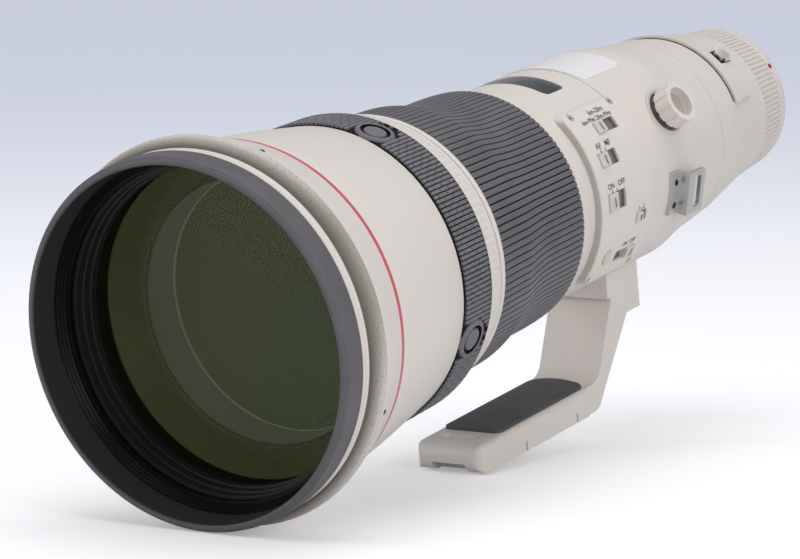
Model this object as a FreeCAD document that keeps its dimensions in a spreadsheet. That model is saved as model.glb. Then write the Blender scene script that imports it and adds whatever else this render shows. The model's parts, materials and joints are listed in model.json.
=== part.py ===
import FreeCAD, Part
import os
import re

import Sketcher

# A long telephoto camera lens with its tripod collar and foot. The optical axis is Y: the front
# glass looks along -Y, the camera sits on the +Y side, and +Z is the top. The origin is on the
# axis in the plane of the mount flange. All lengths are millimetres and all angles are degrees,
# measured round the axis from the top towards +X.

SIZES = {
    # lengths of the sections along the axis, from the front rim to the flange
    "front_ring_length": 11.5,
    "lip_length": 6.4,
    "cone_length": 3.5,
    "crown_length": 2.5,
    "nose_length": 21.3,
    "bell_length": 61.8,
    "band_length": 21.5,
    "playback_length": 15.4,
    "front_trim_length": 3.6,
    "focus_length": 79.4,
    "rear_trim_length": 3.6,
    "window_barrel_length": 58,
    "collar_length": 46,
    "taper_length": 37,
    "rear_length": 85,
    # clearances
    "seat_gap": 0.05,
    "running_gap": 0.06,
    "end_gap": 0.3,
    "slide_gap": 0.15,
    # outer radii
    "front_ring_radius": 77.6,
    "front_ring_bore": 74,
    "front_rim_rounding": 2.2,
    "front_bore_rounding": 1.3,
    "ring_bore_length": 2,
    "ring_spigot_radius": 75.2,
    "ring_spigot_length": 7,
    "ring_throat_radius": 71,
    "lip_front_radius": 77.7,
    "lip_rear_radius": 76.8,
    "cone_rear_radius": 80.7,
    "crown_radius": 81.5,
    "red_line_radius": 74.7,
    "red_line_width": 2.6,
    "red_line_depth": 0.9,
    "red_line_step": 0.3,
    "bell_mid_station": 25.3,
    "bell_mid_radius": 71.8,
    "bell_rear_radius": 65.9,
    "bell_wall": 3,
    "bell_land_length": 9.5,
    "band_front_radius": 67.3,
    "band_rear_radius": 66.8,
    "band_edge": 0.4,
    "band_thickness": 2.6,
    "playback_front_radius": 63.4,
    "playback_rear_radius": 62,
    "front_trim_radius": 61.2,
    "focus_front_radius": 61.2,
    "focus_shoulder_station": 24.5,
    "focus_shoulder_radius": 59.9,
    "focus_bend_station": 38,
    "focus_bend_radius": 57.1,
    "focus_waist_station": 50,
    "focus_waist_radius": 55.3,
    "focus_rear_radius": 54.5,
    "grip_thickness": 2.5,
    "focus_land_length": 9,
    "focus_relief": 2,
    "rear_trim_radius": 51.2,
    "barrel_radius": 50.7,
    "collar_radius": 50.5,
    "taper_front_radius": 49.9,
    "taper_mid_station": 20,
    "taper_mid_radius": 47.2,
    "taper_rear_radius": 45.6,
    "rear_seam_station": 14,
    "rear_seam_radius": 44.2,
    "rear_waist_station": 45,
    "rear_waist_radius": 38.9,
    "ribbed_length": 29,
    "ribbed_front_radius": 37.4,
    "ribbed_mid_station": 11,
    "ribbed_mid_radius": 36.3,
    "ribbed_rear_radius": 35.4,
    "ribbed_end_rounding": 1.2,
    "ribbed_set_back": 1.5,
    "ribbed_wall": 2,
    # the black tube that carries the rings
    "front_tube_radius": 59.5,
    "focus_tube_radius": 49.5,
    "rear_tube_radius": 46.6,
    "neck_tube_radius": 43,
    "neck_tube_length": 22,
    "tube_wall": 3,
    "tube_lead": 50,
    "neck_flange_length": 4,
    "neck_flange_bore": 26,
    # front cell, its retaining ring and the front glass
    "cell_radius": 71.8,
    "cell_length": 26.7,
    "cell_wall": 1.8,
    "cell_shoulder": 3.1,
    "glass_set_back": 22.8,
    "glass_edge": 8.2,
    "glass_front_bulge": 5,
    "glass_rear_hollow": 3.5,
    "retainer_length": 12,
    "retainer_front_wall": 1.4,
    "retainer_rear_wall": 3.2,
    # stop buttons
    "stop_button_angle": 21,
    "stop_button_station": 8.7,
    "stop_button_radius": 4.7,
    "stop_button_foot": 61.9,
    "stop_button_top": 67.6,
    "stop_button_dome": 0.6,
    "stop_button_travel": 0.8,
    "stop_recess_radius": 5.9,
    "stop_recess_depth": 1.8,
    "stop_boss_radius": 7.6,
    "stop_boss_top": 67.6,
    # distance window and drum
    "window_station": 28,
    "window_length": 16,
    "window_width": 42,
    "window_ledge": 1.5,
    "window_thickness": 1.4,
    "window_set_in": 0.3,
    "drum_thickness": 1,
    "drum_length": 32,
    "drum_relief": 0.4,
    # switch panel
    "panel_angle": 86.5,
    "panel_station": 12,
    "panel_length": 45,
    "panel_width": 76,
    "panel_height": 3.5,
    "panel_corner": 4,
    "panel_floor": 1.2,
    "switch_rise": 1.4,
    "switch_rounding": 0.8,
    "preset_angle": 117.5,
    "preset_station": 23,
    "preset_width": 7.5,
    "preset_length": 5.5,
    "preset_corner": 2.6,
    "preset_rise": 0.6,
    "panel_screw_high_angle": 44.4,
    "panel_screw_low_angle": 128.4,
    "panel_screw_high_front": 18.5,
    "panel_screw_high_rear": 53,
    "panel_screw_low_front": 15,
    "panel_screw_low_rear": 51,
    "screw_radius": 1.9,
    "screw_socket": 0.9,
    "screw_socket_depth": 1,
    # collar with neck, foot and lock knob
    "neck_half_width": 16,
    "neck_front_station": 17,
    "neck_drop": 60,
    "label_station": 1.5,
    "label_length": 34.5,
    "label_width": 43.2,
    "label_thickness": 0.45,
    "label_corner": 4,
    "knob_angle": 60,
    "knob_station": 32,
    "knob_radius": 9.8,
    "knob_height": 10.2,
    "knob_rise": 1.3,
    "knob_dish_radius": 7,
    "knob_dish_depth": 4,
    "knob_flute_radius": 1.1,
    "knob_boss_radius": 11,
    "knob_boss_rise": 1,
    "knob_shaft_radius": 3,
    "shoe_radius": 6,
    "shoe_thickness": 2,
    "shoe_gap": 0.35,
    "arm_front_inset": 3,
    "arm_plate_gap": 12,
    "arm_step_drop": 10.3,
    "arm_step_length": 12.3,
    "arm_heel_inset": 1.3,
    "arm_inner_rounding": 10,
    "arm_outer_rounding": 8,
    "foot_top_drop": 95,
    "foot_thickness": 13,
    "foot_front_station": 104,
    "foot_plate_length": 95,
    "foot_half_width": 17.3,
    "foot_corner": 6,
    "foot_top_rounding": 3,
    "foot_recess_station": 10,
    "foot_recess_length": 6,
    "foot_recess_width": 18,
    "foot_recess_depth": 1.5,
    "foot_slit_front": 39,
    "foot_slit_rear": 84,
    "foot_slit_width": 1.2,
    "foot_slit_height": 4.5,
    "foot_slit_depth": 1.5,
    "foot_notch_half_width": 8.5,
    "foot_notch_height": 4.5,
    "foot_notch_depth": 8,
    "small_thread_station": 26,
    "small_thread_radius": 3.175,
    "large_thread_station": 66,
    "large_thread_radius": 4.7625,
    "thread_depth": 9.5,
    "pad_station": 21,
    "pad_length": 75.5,
    "pad_half_width": 14,
    "pad_thickness": 2.4,
    "pad_corner": 5,
    "pad_rounding": 1.6,
    "foot_screw_radius": 3.4,
    "foot_screw_spread": 9,
    "foot_screw_shank": 2,
    "foot_screw_sink": 3.6,
    "foot_screw_reach": 7,
    # strap lugs
    "lug_angle": 101.5,
    "lug_station": 21.5,
    "lug_width": 20,
    "lug_plate_length": 8,
    "lug_plate_thickness": 2.2,
    "lug_loop_length": 13,
    "lug_loop_thickness": 1.8,
    "lug_loop_lift": 5,
    "lug_slot_length": 6,
    "lug_slot_width": 15,
    "lug_corner": 3,
    "lug_screw_spread": 5.4,
    "lug_screw_radius": 1.4,
    "lug_screw_sink": 1.5,
    "lug_screw_set_in": 1,
    # inside optics
    "focus_cell_station": 14,
    "focus_cell_length": 35,
    "focus_cell_bore": 38,
    "focus_glass_edge": 9,
    "focus_glass_bulge": 4,
    "motor_station": 6,
    "motor_length": 20,
    "motor_bore": 36,
    "iris_station": 24,
    "iris_length": 9,
    "iris_bore": 24,
    "carriage_radius": 36,
    "carriage_length": 9,
    "carriage_wall": 4,
    "shake_gap": 1.4,
    "shake_cell_wall": 3,
    "shake_glass_edge": 6,
    "shake_glass_bulge": 1.5,
    # rear housing, drop-in filter and mount
    "spigot_radius": 40.9,
    "spigot_length": 8,
    "housing_hollow_radius": 37.5,
    "housing_hollow_depth": 6,
    "throat_radius": 24,
    "board_thickness": 1.6,
    "holder_station": 22,
    "holder_length": 22,
    "holder_base_height": 13.3,
    "holder_proud": 1.6,
    "holder_wall": 6,
    "frame_half_width": 29,
    "frame_drop": 29,
    "frame_thickness": 11.4,
    "filter_radius": 26,
    "filter_thickness": 2.6,
    "filter_rim": 3,
    "lock_angle": 40,
    "lock_width": 8,
    "lock_length": 12,
    "lock_height": 4,
    "lock_proud": 0.5,
    "lock_rounding": 1.2,
    "flange_radius": 33.1,
    "flange_thickness": 3,
    "mount_bore": 22.5,
    "mount_tube_radius": 25.4,
    "mount_tube_length": 5.2,
    "tab_radius": 26.9,
    "tab_thickness": 1.8,
    "tab_span": 52,
    "tab_start": 15,
    "mount_screw_circle": 29.3,
    "mount_screw_radius": 1.9,
    "contact_span": 80,
    "contact_height": 2.6,
    "contact_front": 8,
    "contact_rear": 4.4,
    "pin_radius": 0.6,
    "pin_rise": 0.5,
    "rear_cell_station": 50,
    "rear_cell_length": 18,
    "rear_glass_radius": 17,
    "rear_glass_edge": 5,
    "rear_glass_bulge": 2,
    "rear_shoulder": 1.2,
}

# station along the axis of each section's front end, from the flange forwards
REAR = "(0 - rear_length)"
TAPER = f"({REAR} - taper_length)"
COLLAR = f"({TAPER} - collar_length)"
WINDOW = f"({COLLAR} - window_barrel_length)"
REAR_TRIM = f"({WINDOW} - rear_trim_length)"
FOCUS = f"({REAR_TRIM} - focus_length)"
FRONT_TRIM = f"({FOCUS} - front_trim_length)"
PLAYBACK = f"({FRONT_TRIM} - playback_length)"
BAND = f"({PLAYBACK} - band_length)"
BELL = f"({BAND} - bell_length)"
CROWN = f"({BELL} - nose_length)"
CONE = f"({CROWN} - crown_length)"
LIP_END = f"({CONE} - cone_length)"
LIP = f"({LIP_END} - lip_length)"
RIM = f"({LIP} - front_ring_length)"
RIBBED = "(0 - ribbed_length)"

STOP_BUTTONS = 4
KNOB_FLUTES = 12
BAYONET_TABS = 3
MOUNT_SCREWS = 5
CONTACT_PINS = 10

# slide switches: angle, station behind the barrel's front, slot width, knob length, travel
SWITCHES = {
    "focus_limit_switch": (54.5, 37.5, 5.6, 7.2, 10),
    "focus_mode_switch": (69.2, 27, 6.4, 7.2, 8),
    "stabiliser_switch": (89.5, 26, 8, 7.2, 8),
    "stabiliser_mode_switch": (102.5, 47.5, 4.6, 4.8, 4.6),
    "focus_range_switch": (120, 39.5, 5.2, 7.2, 9),
}
REST_FROM_FRONT = {
    "focus_limit_switch": 0,
    "focus_mode_switch": 0,
    "stabiliser_switch": 0,
    "stabiliser_mode_switch": 0,
    "focus_range_switch": 1,
}
SWITCH_WORDS = ("angle", "station", "width", "knob", "travel")
for switch_name, numbers in SWITCHES.items():
    for word, number in zip(SWITCH_WORDS, numbers):
        SIZES[f"{switch_name}_{word}"] = number

doc = FreeCAD.newDocument("TelephotoLens")
sheet = doc.addObject("Spreadsheet::Sheet", "Sizes")
for row, (alias, number) in enumerate(SIZES.items(), 1):
    sheet.set(f"A{row}", alias.replace("_", " "))
    sheet.set(f"B{row}", str(number))
    sheet.setAlias(f"B{row}", alias)
doc.recompute()

ALIASES = re.compile(r"\b(" + "|".join(sorted(SIZES, key=len, reverse=True)) + r")\b")
pieces = []


def value(text):
    """The number that an expression of sheet names stands for."""
    return float(sheet.evalExpression(str(text)))


def bind(thing, prop, text):
    """Tie one property to an expression of sheet names."""
    thing.setExpression(prop, ALIASES.sub(r"Sizes.\1", str(text)))


def piece(thing, name):
    """Mark a finished object as one piece of the lens."""
    thing.Label = name
    pieces.append(thing)
    return thing


def outline(body, name, points, plane="XY_Plane"):
    """A closed straight-sided sketch whose corners are tied to the sheet."""
    sketch = body.newObject("Sketcher::SketchObject", name)
    base = [item for item in body.Origin.OriginFeatures if item.Role == plane][0]
    sketch.AttachmentSupport = [(base, "")]
    sketch.MapMode = "FlatFace"
    corners = [FreeCAD.Vector(value(across), value(along), 0) for across, along in points]
    count = len(corners)
    for number in range(count):
        edge = Part.LineSegment(corners[number], corners[(number + 1) % count])
        sketch.addGeometry(edge, False)
    for number in range(count):
        following = (number + 1) % count
        sketch.addConstraint(Sketcher.Constraint("Coincident", number, 2, following, 1))
    for number, (across, along) in enumerate(points):
        for kind, text in (("DistanceX", across), ("DistanceY", along)):
            rule = Sketcher.Constraint(kind, -1, 1, number, 1, value(text))
            bind(sketch, f"Constraints[{sketch.addConstraint(rule)}]", text)
    return sketch


def turned(name, points, start="90", sweep="360"):
    """A ring turned round the lens axis from (radius, station) corners.

    start and sweep give the sector's first angle and its span.
    """
    body = doc.addObject("PartDesign::Body", name)
    sketch = outline(body, name + "_outline", points)
    ring = body.newObject("PartDesign::Revolution", name + "_turn")
    ring.Profile = sketch
    ring.ReferenceAxis = (sketch, ["V_Axis"])
    bind(ring, "Angle", sweep)
    body.Placement = FreeCAD.Placement(FreeCAD.Vector(), FreeCAD.Rotation(FreeCAD.Vector(0, 1, 0), 1))
    bind(body, "Placement.Rotation.Angle", f"{start} - 90")
    doc.recompute()
    return body


def round_edges(body, places, kind="Fillet"):
    """Round or chamfer the circular edges at (radius, station, size)."""
    for number, (radius, station, size) in enumerate(places):
        base = body.Tip
        names = []
        for index, edge in enumerate(base.Shape.Edges, 1):
            curve = edge.Curve
            if not isinstance(curve, Part.Circle):
                continue
            if abs(curve.Radius - value(radius)) < 0.001 and abs(curve.Center.y - value(station)) < 0.001:
                names.append(f"Edge{index}")
        feature = body.newObject(f"PartDesign::{kind}", f"{body.Name}_edge{number}")
        feature.Base = (base, names)
        bind(feature, "Radius" if kind == "Fillet" else "Size", size)
        doc.recompute()
    return body


def plain_ring(name, inner, outer, front, rear):
    """A ring of rectangular section."""
    return turned(name, [(inner, front), (outer, front), (outer, rear), (inner, rear)])


def place_out(thing, angle, across, along, out):
    """Stand an object on the lens: its Z points away from the axis at the angle."""
    turn = FreeCAD.Rotation(FreeCAD.Vector(0, 1, 0), 1)
    thing.Placement = FreeCAD.Placement(FreeCAD.Vector(), turn)
    bind(thing, "Placement.Rotation.Angle", angle)
    bind(thing, "Placement.Base.x", f"({across}) * cos({angle}) + ({out}) * sin({angle})")
    bind(thing, "Placement.Base.y", along)
    bind(thing, "Placement.Base.z", f"({out}) * cos({angle}) - ({across}) * sin({angle})")
    return thing


def block(name, angle, width, front, rear, low, high, corner=None, across="0"):
    """A block standing out from the lens, with rounded corners when corner is given."""
    thing = doc.addObject("Part::Box", name)
    bind(thing, "Length", width)
    bind(thing, "Width", f"({rear}) - ({front})")
    bind(thing, "Height", f"({high}) - ({low})")
    place_out(thing, angle, f"({across}) - ({width}) / 2", front, low)
    doc.recompute()
    if corner is None:
        return thing
    return soften(name + "_round", thing, corner, upright_edges(thing))


def upright_edges(thing):
    """Numbers of the straight edges that run along the object's own Z."""
    up = thing.Placement.Rotation.multVec(FreeCAD.Vector(0, 0, 1))
    found = []
    for index, edge in enumerate(thing.Shape.Edges, 1):
        if isinstance(edge.Curve, Part.Line) and abs(abs(edge.Curve.Direction.dot(up)) - 1) < 1e-6:
            found.append(index)
    return found


def soften(name, thing, radius, edges):
    """Round the numbered edges of an object."""
    rounded = doc.addObject("Part::Fillet", name)
    rounded.Base = thing
    rounded.Edges = [(index, value(radius), value(radius)) for index in edges]
    doc.recompute()
    return rounded


def peg(name, angle, along, radius, low, high, across="0"):
    """A round peg standing out from the lens."""
    thing = doc.addObject("Part::Cylinder", name)
    bind(thing, "Radius", radius)
    bind(thing, "Height", f"({high}) - ({low})")
    return place_out(thing, angle, across, along, low)


def axial(name, radius, front, rear, across="0", up="0"):
    """A cylinder that lies along the lens axis."""
    thing = doc.addObject("Part::Cylinder", name)
    bind(thing, "Radius", radius)
    bind(thing, "Height", f"({rear}) - ({front})")
    turn = FreeCAD.Rotation(FreeCAD.Vector(1, 0, 0), -90)
    thing.Placement = FreeCAD.Placement(FreeCAD.Vector(), turn)
    bind(thing, "Placement.Base.x", across)
    bind(thing, "Placement.Base.y", front)
    bind(thing, "Placement.Base.z", up)
    return thing


def ball(name, radius, along, angle="0", out="0"):
    """A sphere for a dish or a glass surface."""
    thing = doc.addObject("Part::Sphere", name)
    bind(thing, "Radius", radius)
    return place_out(thing, angle, "0", along, out)


def fuse(name, *things):
    joined = doc.addObject("Part::MultiFuse", name)
    joined.Shapes = list(things)
    doc.recompute()
    return joined


def cut(name, base, *tools):
    """Take each tool out of the base in turn."""
    for number, tool in enumerate(tools):
        result = doc.addObject("Part::Cut", name if number == len(tools) - 1 else f"{name}_{number}")
        result.Base = base
        result.Tool = tool
        base = result
    doc.recompute()
    return base


def common(name, first, second):
    shared = doc.addObject("Part::Common", name)
    shared.Base = first
    shared.Tool = second
    doc.recompute()
    return shared


def group(name, things):
    """Several like solids kept as one node."""
    kept = doc.addObject("Part::Compound", name)
    kept.Links = things
    doc.recompute()
    return kept


def lens(name, radius, front, rear, bulge_front, bulge_rear):
    """A glass whose surfaces bulge out by the given height, or in when it is negative."""
    front_high = f"(({radius})^2 + ({bulge_front})^2) / (2 * abs({bulge_front}))"
    rear_high = f"(({radius})^2 + ({bulge_rear})^2) / (2 * abs({bulge_rear}))"
    first = front if value(bulge_front) < 0 else f"({front} - {bulge_front})"
    last = rear if value(bulge_rear) < 0 else f"({rear} + {bulge_rear})"
    glass = axial(name + "_blank", radius, first, last)
    if value(bulge_front) > 0:
        dome = ball(name + "_front", front_high, f"{front} - {bulge_front} + {front_high}")
        glass = common(name + "_domed", glass, dome)
    else:
        hollow = ball(name + "_front", front_high, f"{front} - {bulge_front} - {front_high}")
        glass = cut(name + "_hollowed", glass, hollow)
    if value(bulge_rear) > 0:
        dome = ball(name + "_rear", rear_high, f"{rear} + {bulge_rear} - {rear_high}")
        return common(name, glass, dome)
    hollow = ball(name + "_rear", rear_high, f"{rear} + {bulge_rear} + {rear_high}")
    return cut(name, glass, hollow)


def socket_screw(name, angle, along, radius, low, high, across="0"):
    """A round screw head with a round driver socket."""
    head = peg(name + "_head", angle, along, radius, low, high, across)
    socket = peg(name + "_socket", angle, along, "screw_socket",
                 f"({high}) - screw_socket_depth", f"({high}) + 1", across)
    return cut(name, head, socket)


# Main tube: stepped down towards the camera, with an inner flange behind the stabiliser
TUBE_FRONT = f"({BAND} - tube_lead)"
NECK_END = f"({TAPER} + neck_tube_length)"
main_tube = turned("main_tube", [
    ("front_tube_radius - tube_wall", TUBE_FRONT),
    ("front_tube_radius", TUBE_FRONT),
    ("front_tube_radius", FOCUS),
    ("focus_tube_radius", FOCUS),
    ("focus_tube_radius", REAR_TRIM),
    ("rear_tube_radius", REAR_TRIM),
    ("rear_tube_radius", TAPER),
    ("neck_tube_radius", TAPER),
    ("neck_tube_radius", NECK_END),
    ("neck_flange_bore", NECK_END),
    ("neck_flange_bore", f"{NECK_END} - neck_flange_length"),
    ("neck_tube_radius - tube_wall", f"{NECK_END} - neck_flange_length"),
    ("neck_tube_radius - tube_wall", f"{TAPER} - tube_wall"),
    ("rear_tube_radius - tube_wall", f"{TAPER} - tube_wall"),
    ("rear_tube_radius - tube_wall", f"{REAR_TRIM} - tube_wall"),
    ("focus_tube_radius - tube_wall", f"{REAR_TRIM} - tube_wall"),
    ("focus_tube_radius - tube_wall", f"{FOCUS} - tube_wall"),
    ("front_tube_radius - tube_wall", f"{FOCUS} - tube_wall"),
])
piece(main_tube, "main_tube")

# Front bell: flared shell with a lip, a cone and a crown, and a groove for the coloured ring
SPIGOT_END = f"({LIP} + ring_spigot_length)"
SPIGOT_SEAT = f"({SPIGOT_END} + end_gap)"
CELL_BACK = f"({SPIGOT_SEAT} + cell_length)"
BELL_MID = f"({BELL} + bell_mid_station)"
front_bell = turned("front_bell", [
    ("ring_spigot_radius + seat_gap", LIP),
    ("lip_front_radius", LIP),
    ("lip_rear_radius", LIP_END),
    ("cone_rear_radius", CONE),
    ("crown_radius", CROWN),
    ("red_line_radius", BELL),
    ("red_line_radius - red_line_depth", BELL),
    ("red_line_radius - red_line_depth", f"{BELL} + red_line_width"),
    ("red_line_radius - red_line_step", f"{BELL} + red_line_width"),
    ("bell_mid_radius", BELL_MID),
    ("bell_rear_radius", BAND),
    ("front_tube_radius + seat_gap", BAND),
    ("front_tube_radius + seat_gap", f"{BAND} - bell_land_length"),
    ("bell_rear_radius - bell_wall", f"{BAND} - bell_land_length"),
    ("bell_mid_radius - bell_wall", BELL_MID),
    ("cell_radius + seat_gap", CELL_BACK),
    ("cell_radius + seat_gap", SPIGOT_SEAT),
    ("ring_spigot_radius + seat_gap", SPIGOT_SEAT),
])
piece(front_bell, "front_bell")

red_line = plain_ring("red_line", "red_line_radius - red_line_depth + seat_gap",
                      "red_line_radius - seat_gap", f"{BELL} + seat_gap",
                      f"{BELL} + red_line_width - seat_gap")
piece(red_line, "red_line")

# Front ring: thin rounded rim on a spigot that screws into the bell, with a cone inside it
front_ring = turned("front_ring", [
    ("front_ring_bore", RIM),
    ("front_ring_radius", RIM),
    ("front_ring_radius", LIP),
    ("ring_spigot_radius", LIP),
    ("ring_spigot_radius", SPIGOT_END),
    ("ring_throat_radius", SPIGOT_END),
    ("front_ring_bore", f"{LIP} + ring_bore_length"),
])
round_edges(front_ring, [("front_ring_radius", RIM, "front_rim_rounding"),
                         ("front_ring_bore", RIM, "front_bore_rounding")])
piece(front_ring, "front_ring")

# Front cell with its shoulder, the retaining ring with three steps, and the glass between them
GLASS_FRONT = f"({LIP} + glass_set_back)"
GLASS_BACK = f"({GLASS_FRONT} + glass_edge)"
front_cell = turned("front_cell", [
    ("cell_radius - cell_wall", SPIGOT_SEAT),
    ("cell_radius", SPIGOT_SEAT),
    ("cell_radius", CELL_BACK),
    ("cell_radius - cell_wall - cell_shoulder", CELL_BACK),
    ("cell_radius - cell_wall - cell_shoulder", f"{GLASS_BACK} + seat_gap"),
    ("cell_radius - cell_wall", f"{GLASS_BACK} + seat_gap"),
])
piece(front_cell, "front_cell")

RETAINER_OUT = "cell_radius - cell_wall - seat_gap"
RETAINER_SAG = (f"glass_front_bulge * (1 - (({RETAINER_OUT} - retainer_rear_wall)"
                f" / ({RETAINER_OUT}))^2)")
RETAINER_REAR = f"({GLASS_FRONT} - 2 * seat_gap - {RETAINER_SAG})"
RETAINER_FRONT = f"({RETAINER_REAR} - retainer_length)"
RETAINER_STEP = "(retainer_rear_wall - retainer_front_wall) / 2"
front_retainer = turned("front_retainer", [
    (f"{RETAINER_OUT} - retainer_front_wall", RETAINER_FRONT),
    (RETAINER_OUT, RETAINER_FRONT),
    (RETAINER_OUT, RETAINER_REAR),
    (f"{RETAINER_OUT} - retainer_rear_wall", RETAINER_REAR),
    (f"{RETAINER_OUT} - retainer_rear_wall", f"{RETAINER_FRONT} + 2 * retainer_length / 3"),
    (f"{RETAINER_OUT} - retainer_front_wall - {RETAINER_STEP}",
     f"{RETAINER_FRONT} + 2 * retainer_length / 3"),
    (f"{RETAINER_OUT} - retainer_front_wall - {RETAINER_STEP}",
     f"{RETAINER_FRONT} + retainer_length / 3"),
    (f"{RETAINER_OUT} - retainer_front_wall", f"{RETAINER_FRONT} + retainer_length / 3"),
])
piece(front_retainer, "front_retainer")

front_glass = lens("front_glass", "cell_radius - cell_wall - seat_gap", GLASS_FRONT, GLASS_BACK,
                   "glass_front_bulge", "-glass_rear_hollow")
piece(front_glass, "front_glass")

# Band with the four stop buttons: a metal sleeve and a rubber cover with round bosses
SLEEVE_RADIUS = "(band_rear_radius - band_thickness)"
BUTTON_AT = f"({BAND} + stop_button_station)"
BUTTON_HOLE = "(stop_button_radius + slide_gap)"
stop_angles = [f"(stop_button_angle + {number} * 360 / {STOP_BUTTONS})"
               for number in range(STOP_BUTTONS)]
sleeve_blank = plain_ring("sleeve_blank", "front_tube_radius + seat_gap", SLEEVE_RADIUS,
                          BAND, PLAYBACK)
band_blank = turned("band_blank", [
    (f"{SLEEVE_RADIUS} + seat_gap", f"{BAND} + band_edge"),
    ("band_front_radius", f"{BAND} + band_edge"),
    ("band_rear_radius", f"{PLAYBACK} - band_edge"),
    (f"{SLEEVE_RADIUS} + seat_gap", f"{PLAYBACK} - band_edge"),
])
band_outer = turned("band_outer", [
    (f"{SLEEVE_RADIUS} + seat_gap", f"{BAND} + band_edge"),
    ("stop_boss_top + 5", f"{BAND} + band_edge"),
    ("stop_boss_top + 5", f"{PLAYBACK} - band_edge"),
    (f"{SLEEVE_RADIUS} + seat_gap", f"{PLAYBACK} - band_edge"),
])
pockets = []
holes = []
bosses = []
for number, angle in enumerate(stop_angles, 1):
    pockets.append(peg(f"stop_pocket_{number}", angle, BUTTON_AT, BUTTON_HOLE,
                       "stop_button_foot - stop_button_travel - end_gap", "stop_button_top + 5"))
    holes.append(peg(f"stop_hole_{number}", angle, BUTTON_AT, BUTTON_HOLE,
                     "stop_button_foot - stop_button_travel", "stop_button_top + 5"))
    holes.append(peg(f"stop_recess_{number}", angle, BUTTON_AT, "stop_recess_radius",
                     "stop_boss_top - stop_recess_depth", "stop_boss_top + 5"))
    boss = peg(f"stop_boss_{number}", angle, BUTTON_AT, "stop_boss_radius",
               "front_tube_radius", "stop_boss_top")
    bosses.append(common(f"stop_boss_seated_{number}", boss, band_outer))
piece(cut("band_sleeve", sleeve_blank, *pockets), "band_sleeve")
piece(cut("stop_band", fuse("band_with_bosses", band_blank, *bosses), *holes), "stop_band")

DOME = "(stop_button_radius^2 + stop_button_dome^2) / (2 * stop_button_dome)"
for number, angle in enumerate(stop_angles, 1):
    stem = peg(f"stop_stem_{number}", angle, BUTTON_AT, "stop_button_radius",
               "stop_button_foot", "stop_button_top")
    dome = ball(f"stop_dome_{number}", DOME, BUTTON_AT, angle, f"stop_button_top - {DOME}")
    piece(common(f"stop_button_{number}", stem, dome), f"stop_button_{number}")

# Playback ring and the trim ring behind it
playback_ring = turned("playback_ring", [
    ("front_tube_radius + running_gap", f"{PLAYBACK} + end_gap"),
    ("playback_front_radius", f"{PLAYBACK} + end_gap"),
    ("playback_rear_radius", f"{FRONT_TRIM} - end_gap"),
    ("front_tube_radius + running_gap", f"{FRONT_TRIM} - end_gap"),
])
piece(playback_ring, "playback_ring")
piece(plain_ring("front_trim", "front_tube_radius + seat_gap", "front_trim_radius",
                 FRONT_TRIM, FOCUS), "front_trim")

# Focus ring: metal sleeve on two lands and a rubber grip of even thickness
FOCUS_START = f"({FOCUS} + end_gap)"
FOCUS_END = f"({REAR_TRIM} - end_gap)"
focus_profile = [
    ("focus_front_radius", FOCUS_START),
    ("focus_shoulder_radius", f"{FOCUS} + focus_shoulder_station"),
    ("focus_bend_radius", f"{FOCUS} + focus_bend_station"),
    ("focus_waist_radius", f"{FOCUS} + focus_waist_station"),
    ("focus_rear_radius", FOCUS_END),
]
sleeve_profile = [(f"{radius} - grip_thickness", along) for radius, along in focus_profile]
grip_inside = [(f"{radius} + seat_gap", along) for radius, along in reversed(sleeve_profile)]
focus_sleeve = turned("focus_sleeve", sleeve_profile + [
    ("focus_tube_radius + running_gap", FOCUS_END),
    ("focus_tube_radius + running_gap", f"{FOCUS} + focus_bend_station"),
    ("focus_tube_radius + focus_relief", f"{FOCUS} + focus_bend_station"),
    ("focus_tube_radius + focus_relief", f"{FOCUS_START} + focus_land_length"),
    ("focus_tube_radius + running_gap", f"{FOCUS_START} + focus_land_length"),
    ("focus_tube_radius + running_gap", FOCUS_START),
])
piece(focus_sleeve, "focus_sleeve")
piece(turned("focus_grip", focus_profile + grip_inside), "focus_grip")

# Barrel behind the focus ring: trim, window opening, drum and window glass
piece(plain_ring("rear_trim", "rear_tube_radius + seat_gap", "rear_trim_radius",
                 REAR_TRIM, WINDOW), "rear_trim")
WINDOW_FRONT = f"({WINDOW} + window_station)"
WINDOW_REAR = f"({WINDOW_FRONT} + window_length)"
DRUM_FRONT = f"({WINDOW_FRONT} + window_length / 2 - drum_length / 2)"
DRUM_REAR = f"({DRUM_FRONT} + drum_length)"
DRUM_OUT = "(rear_tube_radius + running_gap + drum_thickness)"
RELIEF_RADIUS = f"({DRUM_OUT} + drum_relief)"
barrel_blank = turned("barrel_blank", [
    ("rear_tube_radius + seat_gap", WINDOW),
    ("barrel_radius", WINDOW),
    ("barrel_radius", COLLAR),
    ("rear_tube_radius + seat_gap", COLLAR),
    ("rear_tube_radius + seat_gap", f"{DRUM_REAR} + 2 * end_gap"),
    (RELIEF_RADIUS, f"{DRUM_REAR} + 2 * end_gap"),
    (RELIEF_RADIUS, f"{DRUM_FRONT} - 2 * end_gap"),
    ("rear_tube_radius + seat_gap", f"{DRUM_FRONT} - 2 * end_gap"),
])
GLASS_LOW = "(barrel_radius - window_set_in - window_thickness)"
window_hole = block("window_hole", "0", "window_width - 2 * window_ledge",
                    f"{WINDOW_FRONT} + window_ledge", f"{WINDOW_REAR} - window_ledge",
                    "rear_tube_radius / 2", "barrel_radius + 5", "window_ledge")
seat_ring = plain_ring("window_seat_ring", f"{GLASS_LOW} - seat_gap", "barrel_radius + 5",
                       f"{WINDOW_FRONT} - 1", f"{WINDOW_REAR} + 1")
seat_block = block("window_seat_block", "0", "window_width", WINDOW_FRONT, WINDOW_REAR,
                   "rear_tube_radius / 2", "barrel_radius + 5", "2 * window_ledge")
window_seat = common("window_seat", seat_ring, seat_block)
piece(cut("mid_barrel", barrel_blank, window_hole, window_seat), "mid_barrel")

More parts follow.
